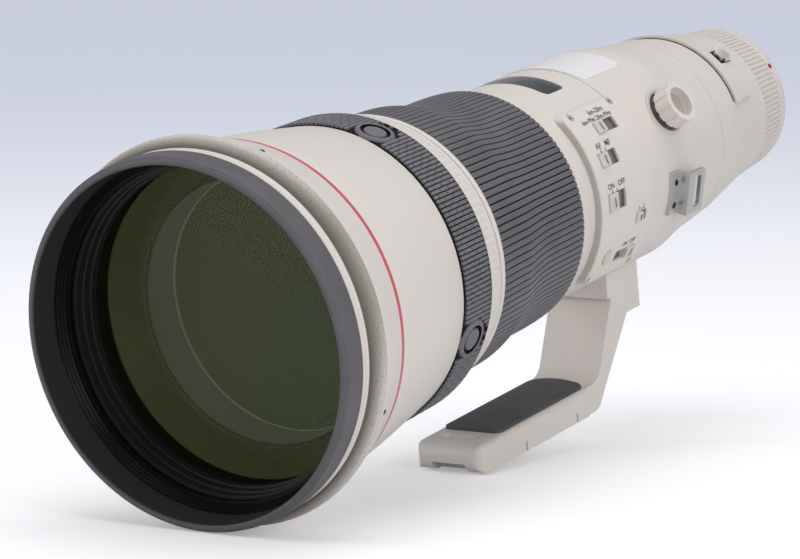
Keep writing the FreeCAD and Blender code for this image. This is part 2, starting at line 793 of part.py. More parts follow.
glass_ring = plain_ring("window_glass_ring", GLASS_LOW, f"{GLASS_LOW} + window_thickness",
                        f"{WINDOW_FRONT} - 1", f"{WINDOW_REAR} + 1")
glass_block = block("window_glass_block", "0", "window_width - 2 * slide_gap",
                    f"{WINDOW_FRONT} + slide_gap", f"{WINDOW_REAR} - slide_gap",
                    "rear_tube_radius / 2", "barrel_radius + 5", "2 * window_ledge")
piece(common("window_glass", glass_ring, glass_block), "window_glass")
piece(plain_ring("distance_drum", "rear_tube_radius + running_gap", DRUM_OUT,
                 DRUM_FRONT, DRUM_REAR), "distance_drum")

# Switch panel on the right side, with a pocket for each slide switch, the button and the screws
PANEL_FRONT = f"({WINDOW} + panel_station)"
PANEL_REAR = f"({PANEL_FRONT} + panel_length)"
PANEL_TOP = "(barrel_radius + panel_height)"
FLOOR = "(barrel_radius + panel_floor)"
panel_ring = turned("panel_ring", [
    ("barrel_radius + seat_gap", PANEL_FRONT),
    (f"{PANEL_TOP} - panel_floor / 2", PANEL_FRONT),
    (PANEL_TOP, f"{PANEL_FRONT} + panel_floor / 2"),
    (PANEL_TOP, f"{PANEL_REAR} - panel_floor / 2"),
    (f"{PANEL_TOP} - panel_floor / 2", PANEL_REAR),
    ("barrel_radius + seat_gap", PANEL_REAR),
])
panel_block = block("panel_block", "panel_angle", "panel_width", PANEL_FRONT, PANEL_REAR,
                    "barrel_radius / 4", "barrel_radius + 20", "panel_corner")
panel_blank = common("panel_blank", panel_ring, panel_block)
panel_cuts = []
for name in SWITCHES:
    middle = f"({WINDOW} + {name}_station)"
    half_slot = f"(({name}_knob + {name}_travel) / 2 + slide_gap)"
    panel_cuts.append(block(f"{name}_slot", f"{name}_angle", f"{name}_width + 2 * slide_gap",
                            f"{middle} - {half_slot}", f"{middle} + {half_slot}",
                            FLOOR, "barrel_radius + 20"))

    rest = f"({middle} - {name}_travel / 2 + {name}_travel * {REST_FROM_FRONT[name]})"
    knob = block(f"{name}_blank", f"{name}_angle", f"{name}_width",
                 f"{rest} - {name}_knob / 2", f"{rest} + {name}_knob / 2",
                 f"{FLOOR} + slide_gap", f"{PANEL_TOP} + switch_rise")
    top = knob.Placement.Rotation.multVec(FreeCAD.Vector(0, 0, 1))
    high = value(f"{PANEL_TOP} + switch_rise")
    crest = [index for index, edge in enumerate(knob.Shape.Edges, 1)
             if all(abs(point.Point.dot(top) - high) < 0.001 for point in edge.Vertexes)]
    piece(soften(name, knob, "switch_rounding", crest), name)

PRESET_FRONT = f"({WINDOW} + preset_station - preset_length / 2)"
PRESET_REAR = f"({WINDOW} + preset_station + preset_length / 2)"
panel_cuts.append(block("preset_pocket", "preset_angle", "preset_width + 2 * slide_gap",
                        f"{PRESET_FRONT} - slide_gap", f"{PRESET_REAR} + slide_gap",
                        FLOOR, "barrel_radius + 20", "preset_corner + slide_gap"))
piece(block("preset_blank", "preset_angle", "preset_width", PRESET_FRONT, PRESET_REAR,
            f"{FLOOR} + stop_button_travel + slide_gap", f"{PANEL_TOP} + preset_rise",
            "preset_corner"), "preset_button")

panel_screws = []
for number, (angle, along) in enumerate((
        ("panel_screw_high_angle", "panel_screw_high_front"),
        ("panel_screw_high_angle", "panel_screw_high_rear"),
        ("panel_screw_low_angle", "panel_screw_low_front"),
        ("panel_screw_low_angle", "panel_screw_low_rear")), 1):
    spot = f"({WINDOW} + {along})"
    panel_cuts.append(peg(f"panel_screw_hole_{number}", angle, spot, "screw_radius + slide_gap",
                          FLOOR, "barrel_radius + 20"))
    panel_screws.append(socket_screw(f"panel_screw_{number}", angle, spot, "screw_radius",
                                     f"{FLOOR} + seat_gap", f"{PANEL_TOP} - slide_gap"))
piece(cut("switch_panel", panel_blank, *panel_cuts), "switch_panel")
piece(group("panel_screws", panel_screws), "panel_screws")

# Tripod collar: ring, neck and the boss under the lock knob
COLLAR_FRONT = f"({COLLAR} + end_gap)"
COLLAR_REAR = f"({TAPER} - end_gap)"
NECK_FRONT = f"({COLLAR} + neck_front_station)"
KNOB_AT = f"({COLLAR} + knob_station)"
BOSS_TOP = "(collar_radius + knob_boss_rise)"
SHOE_LOW = "(rear_tube_radius + shoe_gap)"
SHOE_TOP = "(rear_tube_radius + shoe_gap + shoe_thickness)"
collar_blank = plain_ring("collar_blank", "rear_tube_radius + running_gap", "collar_radius",
                          COLLAR_FRONT, COLLAR_REAR)
neck = block("collar_neck", "180", "2 * neck_half_width", NECK_FRONT, COLLAR_REAR,
             "collar_radius - tube_wall", "neck_drop")
knob_boss = peg("knob_boss", "knob_angle", KNOB_AT, "knob_boss_radius",
                "rear_tube_radius + tube_wall", BOSS_TOP)
shaft_hole = peg("knob_shaft_hole", "knob_angle", KNOB_AT, "knob_shaft_radius + running_gap",
                 "rear_tube_radius", "collar_radius + 5")
shoe_pocket = peg("shoe_pocket", "knob_angle", KNOB_AT, "shoe_radius + running_gap",
                  "rear_tube_radius - 5", f"{SHOE_TOP} + end_gap")
FOOT_SCREW_AT = f"({COLLAR_REAR} - arm_step_length / 2)"
neck_holes = []
for number, side in enumerate((-1, 1), 1):
    neck_holes.append(peg(f"neck_hole_{number}", "180", FOOT_SCREW_AT,
                          "foot_screw_shank + seat_gap", "neck_drop - foot_screw_reach - end_gap",
                          "neck_drop + 1", f"{side} * foot_screw_spread"))
piece(cut("collar_ring", fuse("collar_solid", collar_blank, neck, knob_boss),
          shaft_hole, shoe_pocket, *neck_holes), "collar_ring")

label_ring = plain_ring("label_ring", "collar_radius + seat_gap",
                        "collar_radius + seat_gap + label_thickness",
                        f"{COLLAR} + label_station - 1",
                        f"{COLLAR} + label_station + label_length + 1")
label_block = block("label_block", "0", "label_width", f"{COLLAR} + label_station",
                    f"{COLLAR} + label_station + label_length", "collar_radius / 2",
                    "collar_radius + 5", "label_corner")
piece(common("label_plate", label_ring, label_block), "label_plate")

# Foot: a long rounded plate and the leaning arm that carries it, with a recess, slits, a notch
# and two threaded holes
FOOT_FRONT = f"({COLLAR} - foot_front_station)"
PLATE_REAR = f"({FOOT_FRONT} + foot_plate_length)"
FOOT_BOTTOM = "(foot_top_drop + foot_thickness)"
ARM_FRONT = f"({NECK_FRONT} + arm_front_inset)"
ARM_CORNER = f"({PLATE_REAR} + arm_plate_gap)"
ARM_HEEL = f"({ARM_CORNER} - arm_heel_inset)"


def edges_at(shape, across=None, along=None, up=None):
    """Numbers of the edges whose ends all lie at the given places; across counts on both sides."""
    places = [(axis, abs(value(text))) for axis, text in
              (("x", across), ("y", along), ("z", up)) if text is not None]
    found = []
    for index, edge in enumerate(shape.Edges, 1):
        ends = [vertex.Point for vertex in edge.Vertexes]
        if all(abs(abs(getattr(end, axis)) - place) < 0.001 for end in ends for axis, place in places):
            found.append(index)
    return found


def round_foot(name, edges, size):
    """Round the numbered edges of the foot made so far."""
    base = foot_body.Tip
    rounding = foot_body.newObject("PartDesign::Fillet", name)
    rounding.Base = (base, [f"Edge{index}" for index in edges])
    bind(rounding, "Radius", size)
    doc.recompute()


foot_body = doc.addObject("PartDesign::Body", "foot_body")
plate_sketch = outline(foot_body, "plate_outline", [
    (FOOT_FRONT, "-foot_top_drop"),
    (FOOT_FRONT, f"-{FOOT_BOTTOM}"),
    (PLATE_REAR, f"-{FOOT_BOTTOM}"),
    (PLATE_REAR, "-foot_top_drop"),
], "YZ_Plane")
plate_pad = foot_body.newObject("PartDesign::Pad", "plate_pad")
plate_pad.Profile = plate_sketch
plate_pad.SideType = "Symmetric"
bind(plate_pad, "Length", "2 * foot_half_width")
doc.recompute()
round_foot("front_corners", edges_at(foot_body.Shape, "foot_half_width", FOOT_FRONT),
           "foot_corner")
top_edges = edges_at(foot_body.Shape, up="foot_top_drop")
rear_edge = edges_at(foot_body.Shape, along=PLATE_REAR, up="foot_top_drop")
round_foot("plate_top", [index for index in top_edges if index not in rear_edge],
           "foot_top_rounding")
arm_sketch = outline(foot_body, "arm_outline", [
    (ARM_FRONT, "-neck_drop"),
    (ARM_CORNER, "-foot_top_drop"),
    (PLATE_REAR, "-foot_top_drop"),
    (PLATE_REAR, f"-{FOOT_BOTTOM}"),
    (ARM_HEEL, f"-{FOOT_BOTTOM}"),
    (f"{COLLAR_REAR} - arm_step_length", "-neck_drop - arm_step_drop"),
    (COLLAR_REAR, "-neck_drop - arm_step_drop"),
    (COLLAR_REAR, "-neck_drop"),
], "YZ_Plane")
arm_pad = foot_body.newObject("PartDesign::Pad", "arm_pad")
arm_pad.Profile = arm_sketch
arm_pad.SideType = "Symmetric"
bind(arm_pad, "Length", "2 * neck_half_width")
doc.recompute()
round_foot("arm_inner", edges_at(foot_body.Shape, along=ARM_CORNER, up="foot_top_drop"),
           "arm_inner_rounding")
round_foot("arm_heel", edges_at(foot_body.Shape, along=ARM_HEEL, up=FOOT_BOTTOM),
           "arm_outer_rounding")

foot_cuts = [
    block("foot_recess", "180", "foot_recess_width", f"{FOOT_FRONT} + foot_recess_station",
          f"{FOOT_FRONT} + foot_recess_station + foot_recess_length", "foot_top_drop - 1",
          "foot_top_drop + foot_recess_depth", "foot_recess_length / 3"),
    block("foot_notch", "180", "2 * foot_notch_half_width", f"{FOOT_FRONT} - 1",
          f"{FOOT_FRONT} + foot_notch_depth", f"{FOOT_BOTTOM} - foot_notch_height",
          f"{FOOT_BOTTOM} + 1"),
    peg("small_thread", "180", f"{FOOT_FRONT} + small_thread_station", "small_thread_radius",
        f"{FOOT_BOTTOM} - thread_depth", f"{FOOT_BOTTOM} + 1"),
    peg("large_thread", "180", f"{FOOT_FRONT} + large_thread_station", "large_thread_radius",
        f"{FOOT_BOTTOM} - thread_depth", f"{FOOT_BOTTOM} + 1"),
]
for number, side in enumerate((-1, 1), 1):
    for place in ("front", "rear"):
        slit = f"{FOOT_FRONT} + foot_slit_{place}"
        foot_cuts.append(block(f"foot_slit_{place}_{number}", "180", "2 * foot_slit_depth",
                               f"{slit} - foot_slit_width / 2", f"{slit} + foot_slit_width / 2",
                               f"{FOOT_BOTTOM} - foot_slit_height", f"{FOOT_BOTTOM} + 1",
                               None, f"{side} * foot_half_width"))
    foot_cuts.append(peg(f"foot_screw_hole_{number}", "180", FOOT_SCREW_AT,
                         "foot_screw_shank + seat_gap", "neck_drop - 1",
                         "neck_drop + arm_step_drop + 1", f"{side} * foot_screw_spread"))
    foot_cuts.append(peg(f"foot_screw_sink_{number}", "180", FOOT_SCREW_AT,
                         "foot_screw_radius + slide_gap",
                         "neck_drop + arm_step_drop - foot_screw_sink",
                         "neck_drop + arm_step_drop + 1", f"{side} * foot_screw_spread"))
piece(cut("foot", foot_body, *foot_cuts), "foot")

foot_screws = []
for number, side in enumerate((-1, 1), 1):
    spread = f"{side} * foot_screw_spread"
    head = socket_screw(f"foot_screw_head_{number}", "180", FOOT_SCREW_AT, "foot_screw_radius",
                        "neck_drop + arm_step_drop - foot_screw_sink + seat_gap",
                        "neck_drop + arm_step_drop - end_gap", spread)
    shank = peg(f"foot_screw_shank_{number}", "180", FOOT_SCREW_AT, "foot_screw_shank",
                "neck_drop - foot_screw_reach",
                "neck_drop + arm_step_drop - foot_screw_sink / 2 - screw_socket_depth", spread)
    foot_screws.append(fuse(f"foot_screw_{number}", head, shank))
piece(group("foot_screws", foot_screws), "foot_screws")

pad_blank = block("pad_blank", "180", "2 * pad_half_width", f"{FOOT_FRONT} + pad_station",
                  f"{FOOT_FRONT} + pad_station + pad_length", "foot_top_drop - pad_thickness",
                  "foot_top_drop", "pad_corner")
piece(soften("foot_pad", pad_blank, "pad_rounding",
             edges_at(pad_blank.Shape, up="foot_top_drop - pad_thickness")), "foot_pad")

# Lock knob: fluted and dished, on a shaft through the collar, and the shoe it presses
KNOB_LOW = f"({BOSS_TOP} + end_gap)"
KNOB_TOP = f"({BOSS_TOP} + end_gap + knob_height)"
knob_blank = peg("knob_blank", "knob_angle", KNOB_AT, "knob_radius", KNOB_LOW, KNOB_TOP)
knob_shaft = peg("knob_shaft", "knob_angle", KNOB_AT, "knob_shaft_radius",
                 f"{SHOE_TOP} + end_gap", f"{KNOB_LOW} + 1")
knob_cuts = [peg("knob_dish", "knob_angle", KNOB_AT, "knob_dish_radius",
                 f"{KNOB_TOP} - knob_dish_depth", f"{KNOB_TOP} + 1")]
for number in range(KNOB_FLUTES):
    turn = f"({number} * 360 / {KNOB_FLUTES})"
    circle = "(knob_radius + knob_flute_radius / 2)"
    knob_cuts.append(peg(f"knob_flute_{number}", "knob_angle",
                         f"{KNOB_AT} + {circle} * sin({turn})", "knob_flute_radius",
                         f"{KNOB_LOW} + knob_rise", f"{KNOB_TOP} + 1",
                         f"{circle} * cos({turn})"))
piece(cut("lock_knob", fuse("knob_solid", knob_blank, knob_shaft), *knob_cuts), "lock_knob")

shoe_ring = plain_ring("shoe_ring", SHOE_LOW, SHOE_TOP,
                       f"{KNOB_AT} - shoe_radius - 1", f"{KNOB_AT} + shoe_radius + 1")
shoe_peg = peg("shoe_peg", "knob_angle", KNOB_AT, "shoe_radius", "rear_tube_radius / 2",
               "collar_radius")
piece(common("clamp_shoe", shoe_ring, shoe_peg), "clamp_shoe")

# Strap lugs on both sides: a screwed plate, a riser and a loop lifted off the collar
lugs = []
lug_screws = []
LUG_FRONT = f"({COLLAR} + lug_station)"
LUG_STEP = f"({LUG_FRONT} + lug_plate_length)"
LUG_REAR = f"({LUG_FRONT} + lug_plate_length + lug_loop_length)"
LOOP_LOW = "(collar_radius + lug_loop_lift)"
PLATE_TOP = "(collar_radius + lug_plate_thickness)"
LUG_SCREW_AT = f"({LUG_FRONT} + lug_plate_length / 2 - lug_screw_set_in)"
for side, sign in (("right", "1"), ("left", "-1")):
    angle = f"({sign} * lug_angle)"
    base_ring = plain_ring(f"lug_base_ring_{side}", "collar_radius + seat_gap", PLATE_TOP,
                           LUG_FRONT, LUG_STEP)
    base_block = block(f"lug_base_block_{side}", angle, "lug_width", LUG_FRONT, LUG_STEP,
                       "collar_radius / 2", "collar_radius + 20")
    plate = common(f"lug_plate_{side}", base_ring, base_block)
    riser = common(
        f"lug_riser_{side}",
        plain_ring(f"lug_riser_ring_{side}", "collar_radius + seat_gap", "collar_radius + 20",
                   f"{LUG_STEP} - lug_loop_thickness", LUG_STEP),
        block(f"lug_riser_block_{side}", angle, "lug_width", f"{LUG_STEP} - lug_loop_thickness",
              LUG_STEP, "collar_radius / 2", f"{LOOP_LOW} + lug_loop_thickness"))
    loop = block(f"lug_loop_{side}", angle, "lug_width", f"{LUG_STEP} - lug_loop_thickness",
                 LUG_REAR, LOOP_LOW, f"{LOOP_LOW} + lug_loop_thickness", "lug_corner / 2")
    slot = block(f"lug_slot_{side}", angle, "lug_slot_width",
                 f"{LUG_STEP} + lug_loop_length / 2 - lug_slot_length / 2",
                 f"{LUG_STEP} + lug_loop_length / 2 + lug_slot_length / 2",
                 f"{LOOP_LOW} - 1", f"{LOOP_LOW} + lug_loop_thickness + 1", "lug_corner / 2")
    lug_cuts = [slot]
    for number, place in enumerate(("-lug_screw_spread", "lug_screw_spread"), 1):
        lug_cuts.append(peg(f"lug_hole_{side}_{number}", angle, LUG_SCREW_AT,
                            "lug_screw_radius + slide_gap", f"{PLATE_TOP} - lug_screw_sink",
                            "collar_radius + 20", place))
        lug_screws.append(socket_screw(
            f"lug_screw_{side}_{number}", angle, LUG_SCREW_AT, "lug_screw_radius",
            f"{PLATE_TOP} - lug_screw_sink + seat_gap", f"{PLATE_TOP} - slide_gap", place))
    lugs.append(cut(f"lug_{side}", fuse(f"lug_solid_{side}", plate, riser, loop), *lug_cuts))
piece(group("strap_lugs", lugs), "strap_lugs")
piece(group("lug_screws", lug_screws), "lug_screws")

# Tapered barrel behind the collar
TAPER_MID = f"({TAPER} + taper_mid_station)"
taper_barrel = turned("taper_barrel", [
    ("neck_tube_radius + seat_gap", TAPER),
    ("taper_front_radius", TAPER),
    ("taper_mid_radius", TAPER_MID),
    ("taper_rear_radius", REAR),
    ("spigot_radius + seat_gap", REAR),
    ("spigot_radius + seat_gap", f"{NECK_END} + seat_gap"),
    ("neck_tube_radius + seat_gap", f"{NECK_END} + seat_gap"),
])
piece(taper_barrel, "taper_barrel")

# Rear housing with the opening for the drop-in filter
HOUSING_END = "(0 - flange_thickness)"
HOLDER_FRONT = f"({REAR} + holder_station)"
HOLDER_REAR = f"({HOLDER_FRONT} + holder_length)"
RIBBED_SEAT = "(ribbed_rear_radius - ribbed_wall)"
HOLLOW_END = f"({REAR} + housing_hollow_depth)"
REAR_SEAM = f"({REAR} + rear_seam_station)"
REAR_WAIST = f"({REAR} + rear_waist_station)"
housing_profile = [
    ("taper_rear_radius", REAR),
    ("rear_seam_radius", REAR_SEAM),
    ("rear_waist_radius", REAR_WAIST),
    ("ribbed_front_radius", RIBBED),
]
housing_blank = turned("housing_blank", [
    ("housing_hollow_radius", f"{REAR} - spigot_length"),
    ("spigot_radius", f"{REAR} - spigot_length"),
    ("spigot_radius", REAR),
] + housing_profile + [
    (RIBBED_SEAT, RIBBED),
    (RIBBED_SEAT, HOUSING_END),
    ("throat_radius", HOUSING_END),
    ("throat_radius", HOLLOW_END),
    ("housing_hollow_radius", HOLLOW_END),
])
holder_room = block("holder_room", "0", "3 * taper_rear_radius", f"{HOLDER_FRONT}",
                    HOLDER_REAR, "holder_base_height", "2 * taper_rear_radius")
FRAME_MIDDLE = f"({HOLDER_FRONT} + holder_length / 2)"
FRAME_FRONT = f"({FRAME_MIDDLE} - frame_thickness / 2)"
FRAME_REAR = f"({FRAME_MIDDLE} + frame_thickness / 2)"
SEAM_SLOPE = ("((rear_seam_radius - rear_waist_radius) / (rear_waist_station"
              " - rear_seam_station))")
HOLDER_FRONT_RADIUS = (f"(rear_seam_radius - {SEAM_SLOPE} * (holder_station"
                       " - rear_seam_station) + holder_proud)")
HOLDER_REAR_RADIUS = f"({HOLDER_FRONT_RADIUS} - {SEAM_SLOPE} * holder_length)"
FRAME_RADIUS = f"({HOLDER_REAR_RADIUS} - holder_wall / 2)"
frame_way = block("frame_way", "0", "2 * frame_half_width + 2 * slide_gap",
                  f"{FRAME_FRONT} - slide_gap", f"{FRAME_REAR} + slide_gap",
                  "0", "2 * taper_rear_radius")
frame_well = block("frame_well", "0", "2 * frame_half_width + 2 * slide_gap",
                   f"{FRAME_FRONT} - slide_gap", f"{FRAME_REAR} + slide_gap",
                   "-frame_drop - end_gap", "end_gap")
well_ring = axial("well_ring", f"{FRAME_RADIUS} + end_gap", f"{FRAME_FRONT} - 1",
                  f"{FRAME_REAR} + 1")
frame_room = common("frame_room", frame_well, well_ring)
piece(cut("rear_housing", housing_blank, holder_room, frame_way, frame_room), "rear_housing")

# Drop-in filter: outer arc, frame, filter glass and its two lock buttons
holder_arc_ring = turned("holder_arc_ring", [
    (f"{HOLDER_REAR_RADIUS} - holder_wall", f"{HOLDER_FRONT} + end_gap"),
    (HOLDER_FRONT_RADIUS, f"{HOLDER_FRONT} + end_gap"),
    (HOLDER_REAR_RADIUS, f"{HOLDER_REAR} - end_gap"),
    (f"{HOLDER_REAR_RADIUS} - holder_wall", f"{HOLDER_REAR} - end_gap"),
])
holder_half = block("holder_half", "0", "3 * taper_rear_radius", HOLDER_FRONT, HOLDER_REAR,
                    "holder_base_height + end_gap", "2 * taper_rear_radius")
holder_arc = common("holder_arc", holder_arc_ring, holder_half)
holder_frame = block("holder_frame", "0", "2 * frame_half_width", FRAME_FRONT, FRAME_REAR,
                     "-frame_drop", FRAME_RADIUS)
frame_ring = axial("frame_ring", FRAME_RADIUS, f"{FRAME_FRONT} - 1", f"{FRAME_REAR} + 1")
frame_trimmed = common("frame_trimmed", holder_frame, frame_ring)
light_hole = axial("light_hole", "filter_radius - filter_rim", f"{FRAME_FRONT} - 1",
                   f"{FRAME_REAR} + 1")
filter_seat = axial("filter_seat", "filter_radius + seat_gap", f"{FRAME_FRONT} - 1",
                    f"{FRAME_FRONT} + end_gap + filter_thickness + seat_gap")
LOCK_FRONT = f"({HOLDER_REAR} - 2 * end_gap - 1 - lock_length)"
LOCK_REAR = f"({HOLDER_REAR} - 2 * end_gap - 1)"
LOCK_MID_RADIUS = (f"({HOLDER_REAR_RADIUS} + {SEAM_SLOPE} * (lock_length / 2 + 1 + 2 * end_gap)"
                   " + lock_proud)")
lock_rooms = []
for side, sign in (("right", "1"), ("left", "-1")):
    angle = f"({sign} * lock_angle)"
    lock_rooms.append(block(f"lock_room_{side}", angle, "lock_width + 2 * slide_gap",
                            f"{LOCK_FRONT} - slide_gap", f"{LOCK_REAR} + slide_gap",
                            f"{LOCK_MID_RADIUS} - lock_height - stop_button_travel - end_gap",
                            f"{LOCK_MID_RADIUS} + 5"))
    lock = block(f"lock_blank_{side}", angle, "lock_width", LOCK_FRONT, LOCK_REAR,
                 f"{LOCK_MID_RADIUS} - lock_height", LOCK_MID_RADIUS)
    top = lock.Placement.Rotation.multVec(FreeCAD.Vector(0, 0, 1))
    high = value(LOCK_MID_RADIUS)
    crest = [index for index, edge in enumerate(lock.Shape.Edges, 1)
             if all(abs(point.Point.dot(top) - high) < 0.001 for point in edge.Vertexes)]
    piece(soften(f"filter_lock_{side}", lock, "lock_rounding", crest), f"filter_lock_{side}")
piece(cut("filter_holder", fuse("holder_solid", holder_arc, frame_trimmed),
          light_hole, filter_seat, *lock_rooms), "filter_holder")
piece(axial("filter_glass", "filter_radius", f"{FRAME_FRONT} + end_gap",
            f"{FRAME_FRONT} + end_gap + filter_thickness"), "filter_glass")

# Ribbed ring round the mount end
RIBBED_END = "(0 - ribbed_set_back)"
ribbed_ring = turned("ribbed_ring", [
    (f"{RIBBED_SEAT} + seat_gap", RIBBED),
    ("ribbed_front_radius", RIBBED),
    ("ribbed_mid_radius", f"{RIBBED} + ribbed_mid_station"),
    ("ribbed_rear_radius", f"{RIBBED_END} - ribbed_end_rounding"),
    ("ribbed_rear_radius - ribbed_end_rounding", RIBBED_END),
    (f"{RIBBED_SEAT} + seat_gap", RIBBED_END),
])
piece(ribbed_ring, "ribbed_ring")

# Camera mount: flange, tube, three bayonet tabs and the screws
FLANGE_FRONT = "(0 - flange_thickness + seat_gap)"
mount_blank = turned("mount_blank", [
    ("mount_bore", FLANGE_FRONT),
    ("flange_radius", FLANGE_FRONT),
    ("flange_radius", "0"),
    ("mount_tube_radius", "0"),
    ("mount_tube_radius", "mount_tube_length"),
    ("mount_bore", "mount_tube_length"),
])
tabs = []
for number in range(BAYONET_TABS):
    tabs.append(turned(f"bayonet_tab_{number}", [
        ("mount_bore + 1", "mount_tube_length - tab_thickness"),
        ("tab_radius", "mount_tube_length - tab_thickness"),
        ("tab_radius", "mount_tube_length"),
        ("mount_bore + 1", "mount_tube_length"),
    ], f"(tab_start + {number} * 360 / {BAYONET_TABS})", "tab_span"))
screw_holes = []
mount_screws = []
for number in range(MOUNT_SCREWS):
    turn = f"({number} * 360 / {MOUNT_SCREWS})"
    across = f"mount_screw_circle * sin({turn})"
    up = f"mount_screw_circle * cos({turn})"
    screw_holes.append(axial(f"mount_screw_hole_{number}", "mount_screw_radius + slide_gap",
                             "0 - flange_thickness / 2", "1", across, up))
    head = axial(f"mount_screw_head_{number}", "mount_screw_radius",
                 "seat_gap - flange_thickness / 2", "0 - slide_gap", across, up)
    socket = axial(f"mount_screw_socket_{number}", "screw_socket",
                   "0 - slide_gap - screw_socket_depth", "1", across, up)
    mount_screws.append(cut(f"mount_screw_{number}", head, socket))
piece(cut("mount_ring", fuse("mount_solid", mount_blank, *tabs), *screw_holes), "mount_ring")
piece(group("mount_screws", mount_screws), "mount_screws")

# Contact block with its spring pins, inside the mount tube
CONTACT_OUT = "(mount_bore - seat_gap)"
CONTACT_START = "(180 - contact_span / 2)"
contact_block = turned("contact_block", [
    (f"{CONTACT_OUT} - contact_height", "0 - contact_front"),
    (CONTACT_OUT, "0 - contact_front"),
    (CONTACT_OUT, "contact_rear"),
    (f"{CONTACT_OUT} - contact_height", "contact_rear"),
], CONTACT_START, "contact_span")
piece(contact_block, "contact_block")
contact_pins = []
for number in range(CONTACT_PINS):
    turn = f"({CONTACT_START} + ({number} + 0.5) * contact_span / {CONTACT_PINS})"
    circle = f"({CONTACT_OUT} - contact_height / 2)"
    contact_pins.append(axial(f"contact_pin_{number}", "pin_radius", "contact_rear",
                              "contact_rear + pin_rise",
                              f"{circle} * sin({turn})", f"{circle} * cos({turn})"))
piece(group("contact_pins", contact_pins), "contact_pins")

# Rear optics inside the throat
REAR_CELL_FRONT = f"({REAR} + rear_cell_station)"
REAR_CELL_END = f"({REAR_CELL_FRONT} + rear_cell_length)"
REAR_GLASS_END = f"({REAR_CELL_END} - rear_glass_bulge - 1)"
rear_cell = turned("rear_cell", [
    ("rear_glass_radius - rear_shoulder", REAR_CELL_FRONT),
    ("throat_radius - seat_gap", REAR_CELL_FRONT),
    ("throat_radius - seat_gap", REAR_CELL_END),
    ("rear_glass_radius + seat_gap", REAR_CELL_END),
    ("rear_glass_radius + seat_gap", f"{REAR_GLASS_END} - rear_glass_edge - seat_gap"),
    ("rear_glass_radius - rear_shoulder", f"{REAR_GLASS_END} - rear_glass_edge - seat_gap"),
])
piece(rear_cell, "rear_cell")
piece(lens("rear_glass", "rear_glass_radius", f"({REAR_GLASS_END} - rear_glass_edge)",
           REAR_GLASS_END, "-rear_glass_bulge", "rear_glass_bulge"), "rear_glass")

# Focusing cell that slides in the tube
CELL_FRONT = f"({FOCUS} + focus_cell_station)"
CELL_REAR = f"({CELL_FRONT} + focus_cell_length)"
FOCUS_GLASS_FRONT = f"({CELL_FRONT} + focus_glass_bulge + 1)"
focus_cell = turned("focus_cell", [
    ("focus_cell_bore + seat_gap", CELL_FRONT),
    ("focus_tube_radius - tube_wall - running_gap", CELL_FRONT),
    ("focus_tube_radius - tube_wall - running_gap", CELL_REAR),
    ("focus_cell_bore - cell_shoulder", CELL_REAR),
    ("focus_cell_bore - cell_shoulder", f"{FOCUS_GLASS_FRONT} + focus_glass_edge + seat_gap"),
    ("focus_cell_bore + seat_gap", f"{FOCUS_GLASS_FRONT} + focus_glass_edge + seat_gap"),
])
piece(focus_cell, "focus_cell")
piece(lens("focus_glass", "focus_cell_bore", FOCUS_GLASS_FRONT,
           f"({FOCUS_GLASS_FRONT} + focus_glass_edge)", "focus_glass_bulge",
           "-focus_glass_bulge"), "focus_glass")

# Ring motor and iris unit, both seated in the tube
MOTOR_FRONT = f"({REAR_TRIM} + motor_station)"
piece(plain_ring("focus_motor", "motor_bore", "rear_tube_radius - tube_wall - seat_gap",
                 MOTOR_FRONT, f"{MOTOR_FRONT} + motor_length"), "focus_motor")
IRIS_FRONT = f"({COLLAR} + iris_station)"
piece(plain_ring("iris_unit", "iris_bore", "rear_tube_radius - tube_wall - seat_gap",
                 IRIS_FRONT, f"{IRIS_FRONT} + iris_length"), "iris_unit")

# Image stabiliser: a carriage that shifts sideways and, inside it, a cell that shifts up and down
SHAKE_REAR = f"({NECK_END} - neck_flange_length - end_gap)"
SHAKE_FRONT = f"({SHAKE_REAR} - carriage_length)"
CELL_OUT = "(carriage_radius - carriage_wall - shake_gap)"
CELL_IN = f"({CELL_OUT} - shake_cell_wall)"
piece(plain_ring("stabiliser_carriage", "carriage_radius - carriage_wall", "carriage_radius",
                 SHAKE_FRONT, SHAKE_REAR), "stabiliser_carriage")
piece(plain_ring("stabiliser_cell", CELL_IN, CELL_OUT, SHAKE_FRONT, SHAKE_REAR),
      "stabiliser_cell")
SHAKE_GLASS = f"({SHAKE_FRONT} + carriage_length / 2 - shake_glass_edge / 2)"
piece(lens("stabiliser_glass", f"({CELL_IN} - seat_gap)", SHAKE_GLASS,
           f"({SHAKE_GLASS} + shake_glass_edge)", "-shake_glass_bulge", "-shake_glass_bulge"),
      "stabiliser_glass")

# Circuit board in the hollow of the rear housing
piece(plain_ring("main_board", "throat_radius + shake_gap", "housing_hollow_radius - seat_gap",
                 f"{HOLLOW_END} - end_gap - board_thickness", f"{HOLLOW_END} - end_gap"),
      "main_board")

doc.recompute()
for thing in doc.Objects:
    if "Invalid" in thing.State or "Error" in thing.State:
        raise RuntimeError(f"{thing.Label} did not recompute: {thing.State}")
for thing in pieces:
    if thing.Shape.isNull() or not thing.Shape.isValid():
        raise RuntimeError(f"{thing.Label} has no valid shape")

os.makedirs("parts", exist_ok=True)
for thing in pieces:
    thing.Shape.exportStep(f"parts/{thing.Label}.step")
    box = thing.Shape.BoundBox
    print(f"{thing.Label}: {len(thing.Shape.Solids)} solid(s), {thing.Shape.Volume:.0f} mm3, "
          f"y {box.YMin:.1f} to {box.YMax:.1f}")
print(len(pieces), "pieces")
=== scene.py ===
# %% [markdown]
# A long telephoto camera lens lies on a pale table with its front glass towards us. The solid
# parts come from the CAD model. This script dresses them: turned shells for the barrel, small
# ribs for the rubber, and a material for each finish. Blender counts in metres, while radii and
# other small sizes are written here in millimetres and turned into metres by MM. The optical
# axis is Y, the front glass looks along -Y and the camera side is at +Y.

# %% Load the solid parts
import json
import math

import bmesh
import bpy
from mathutils import Matrix, Vector

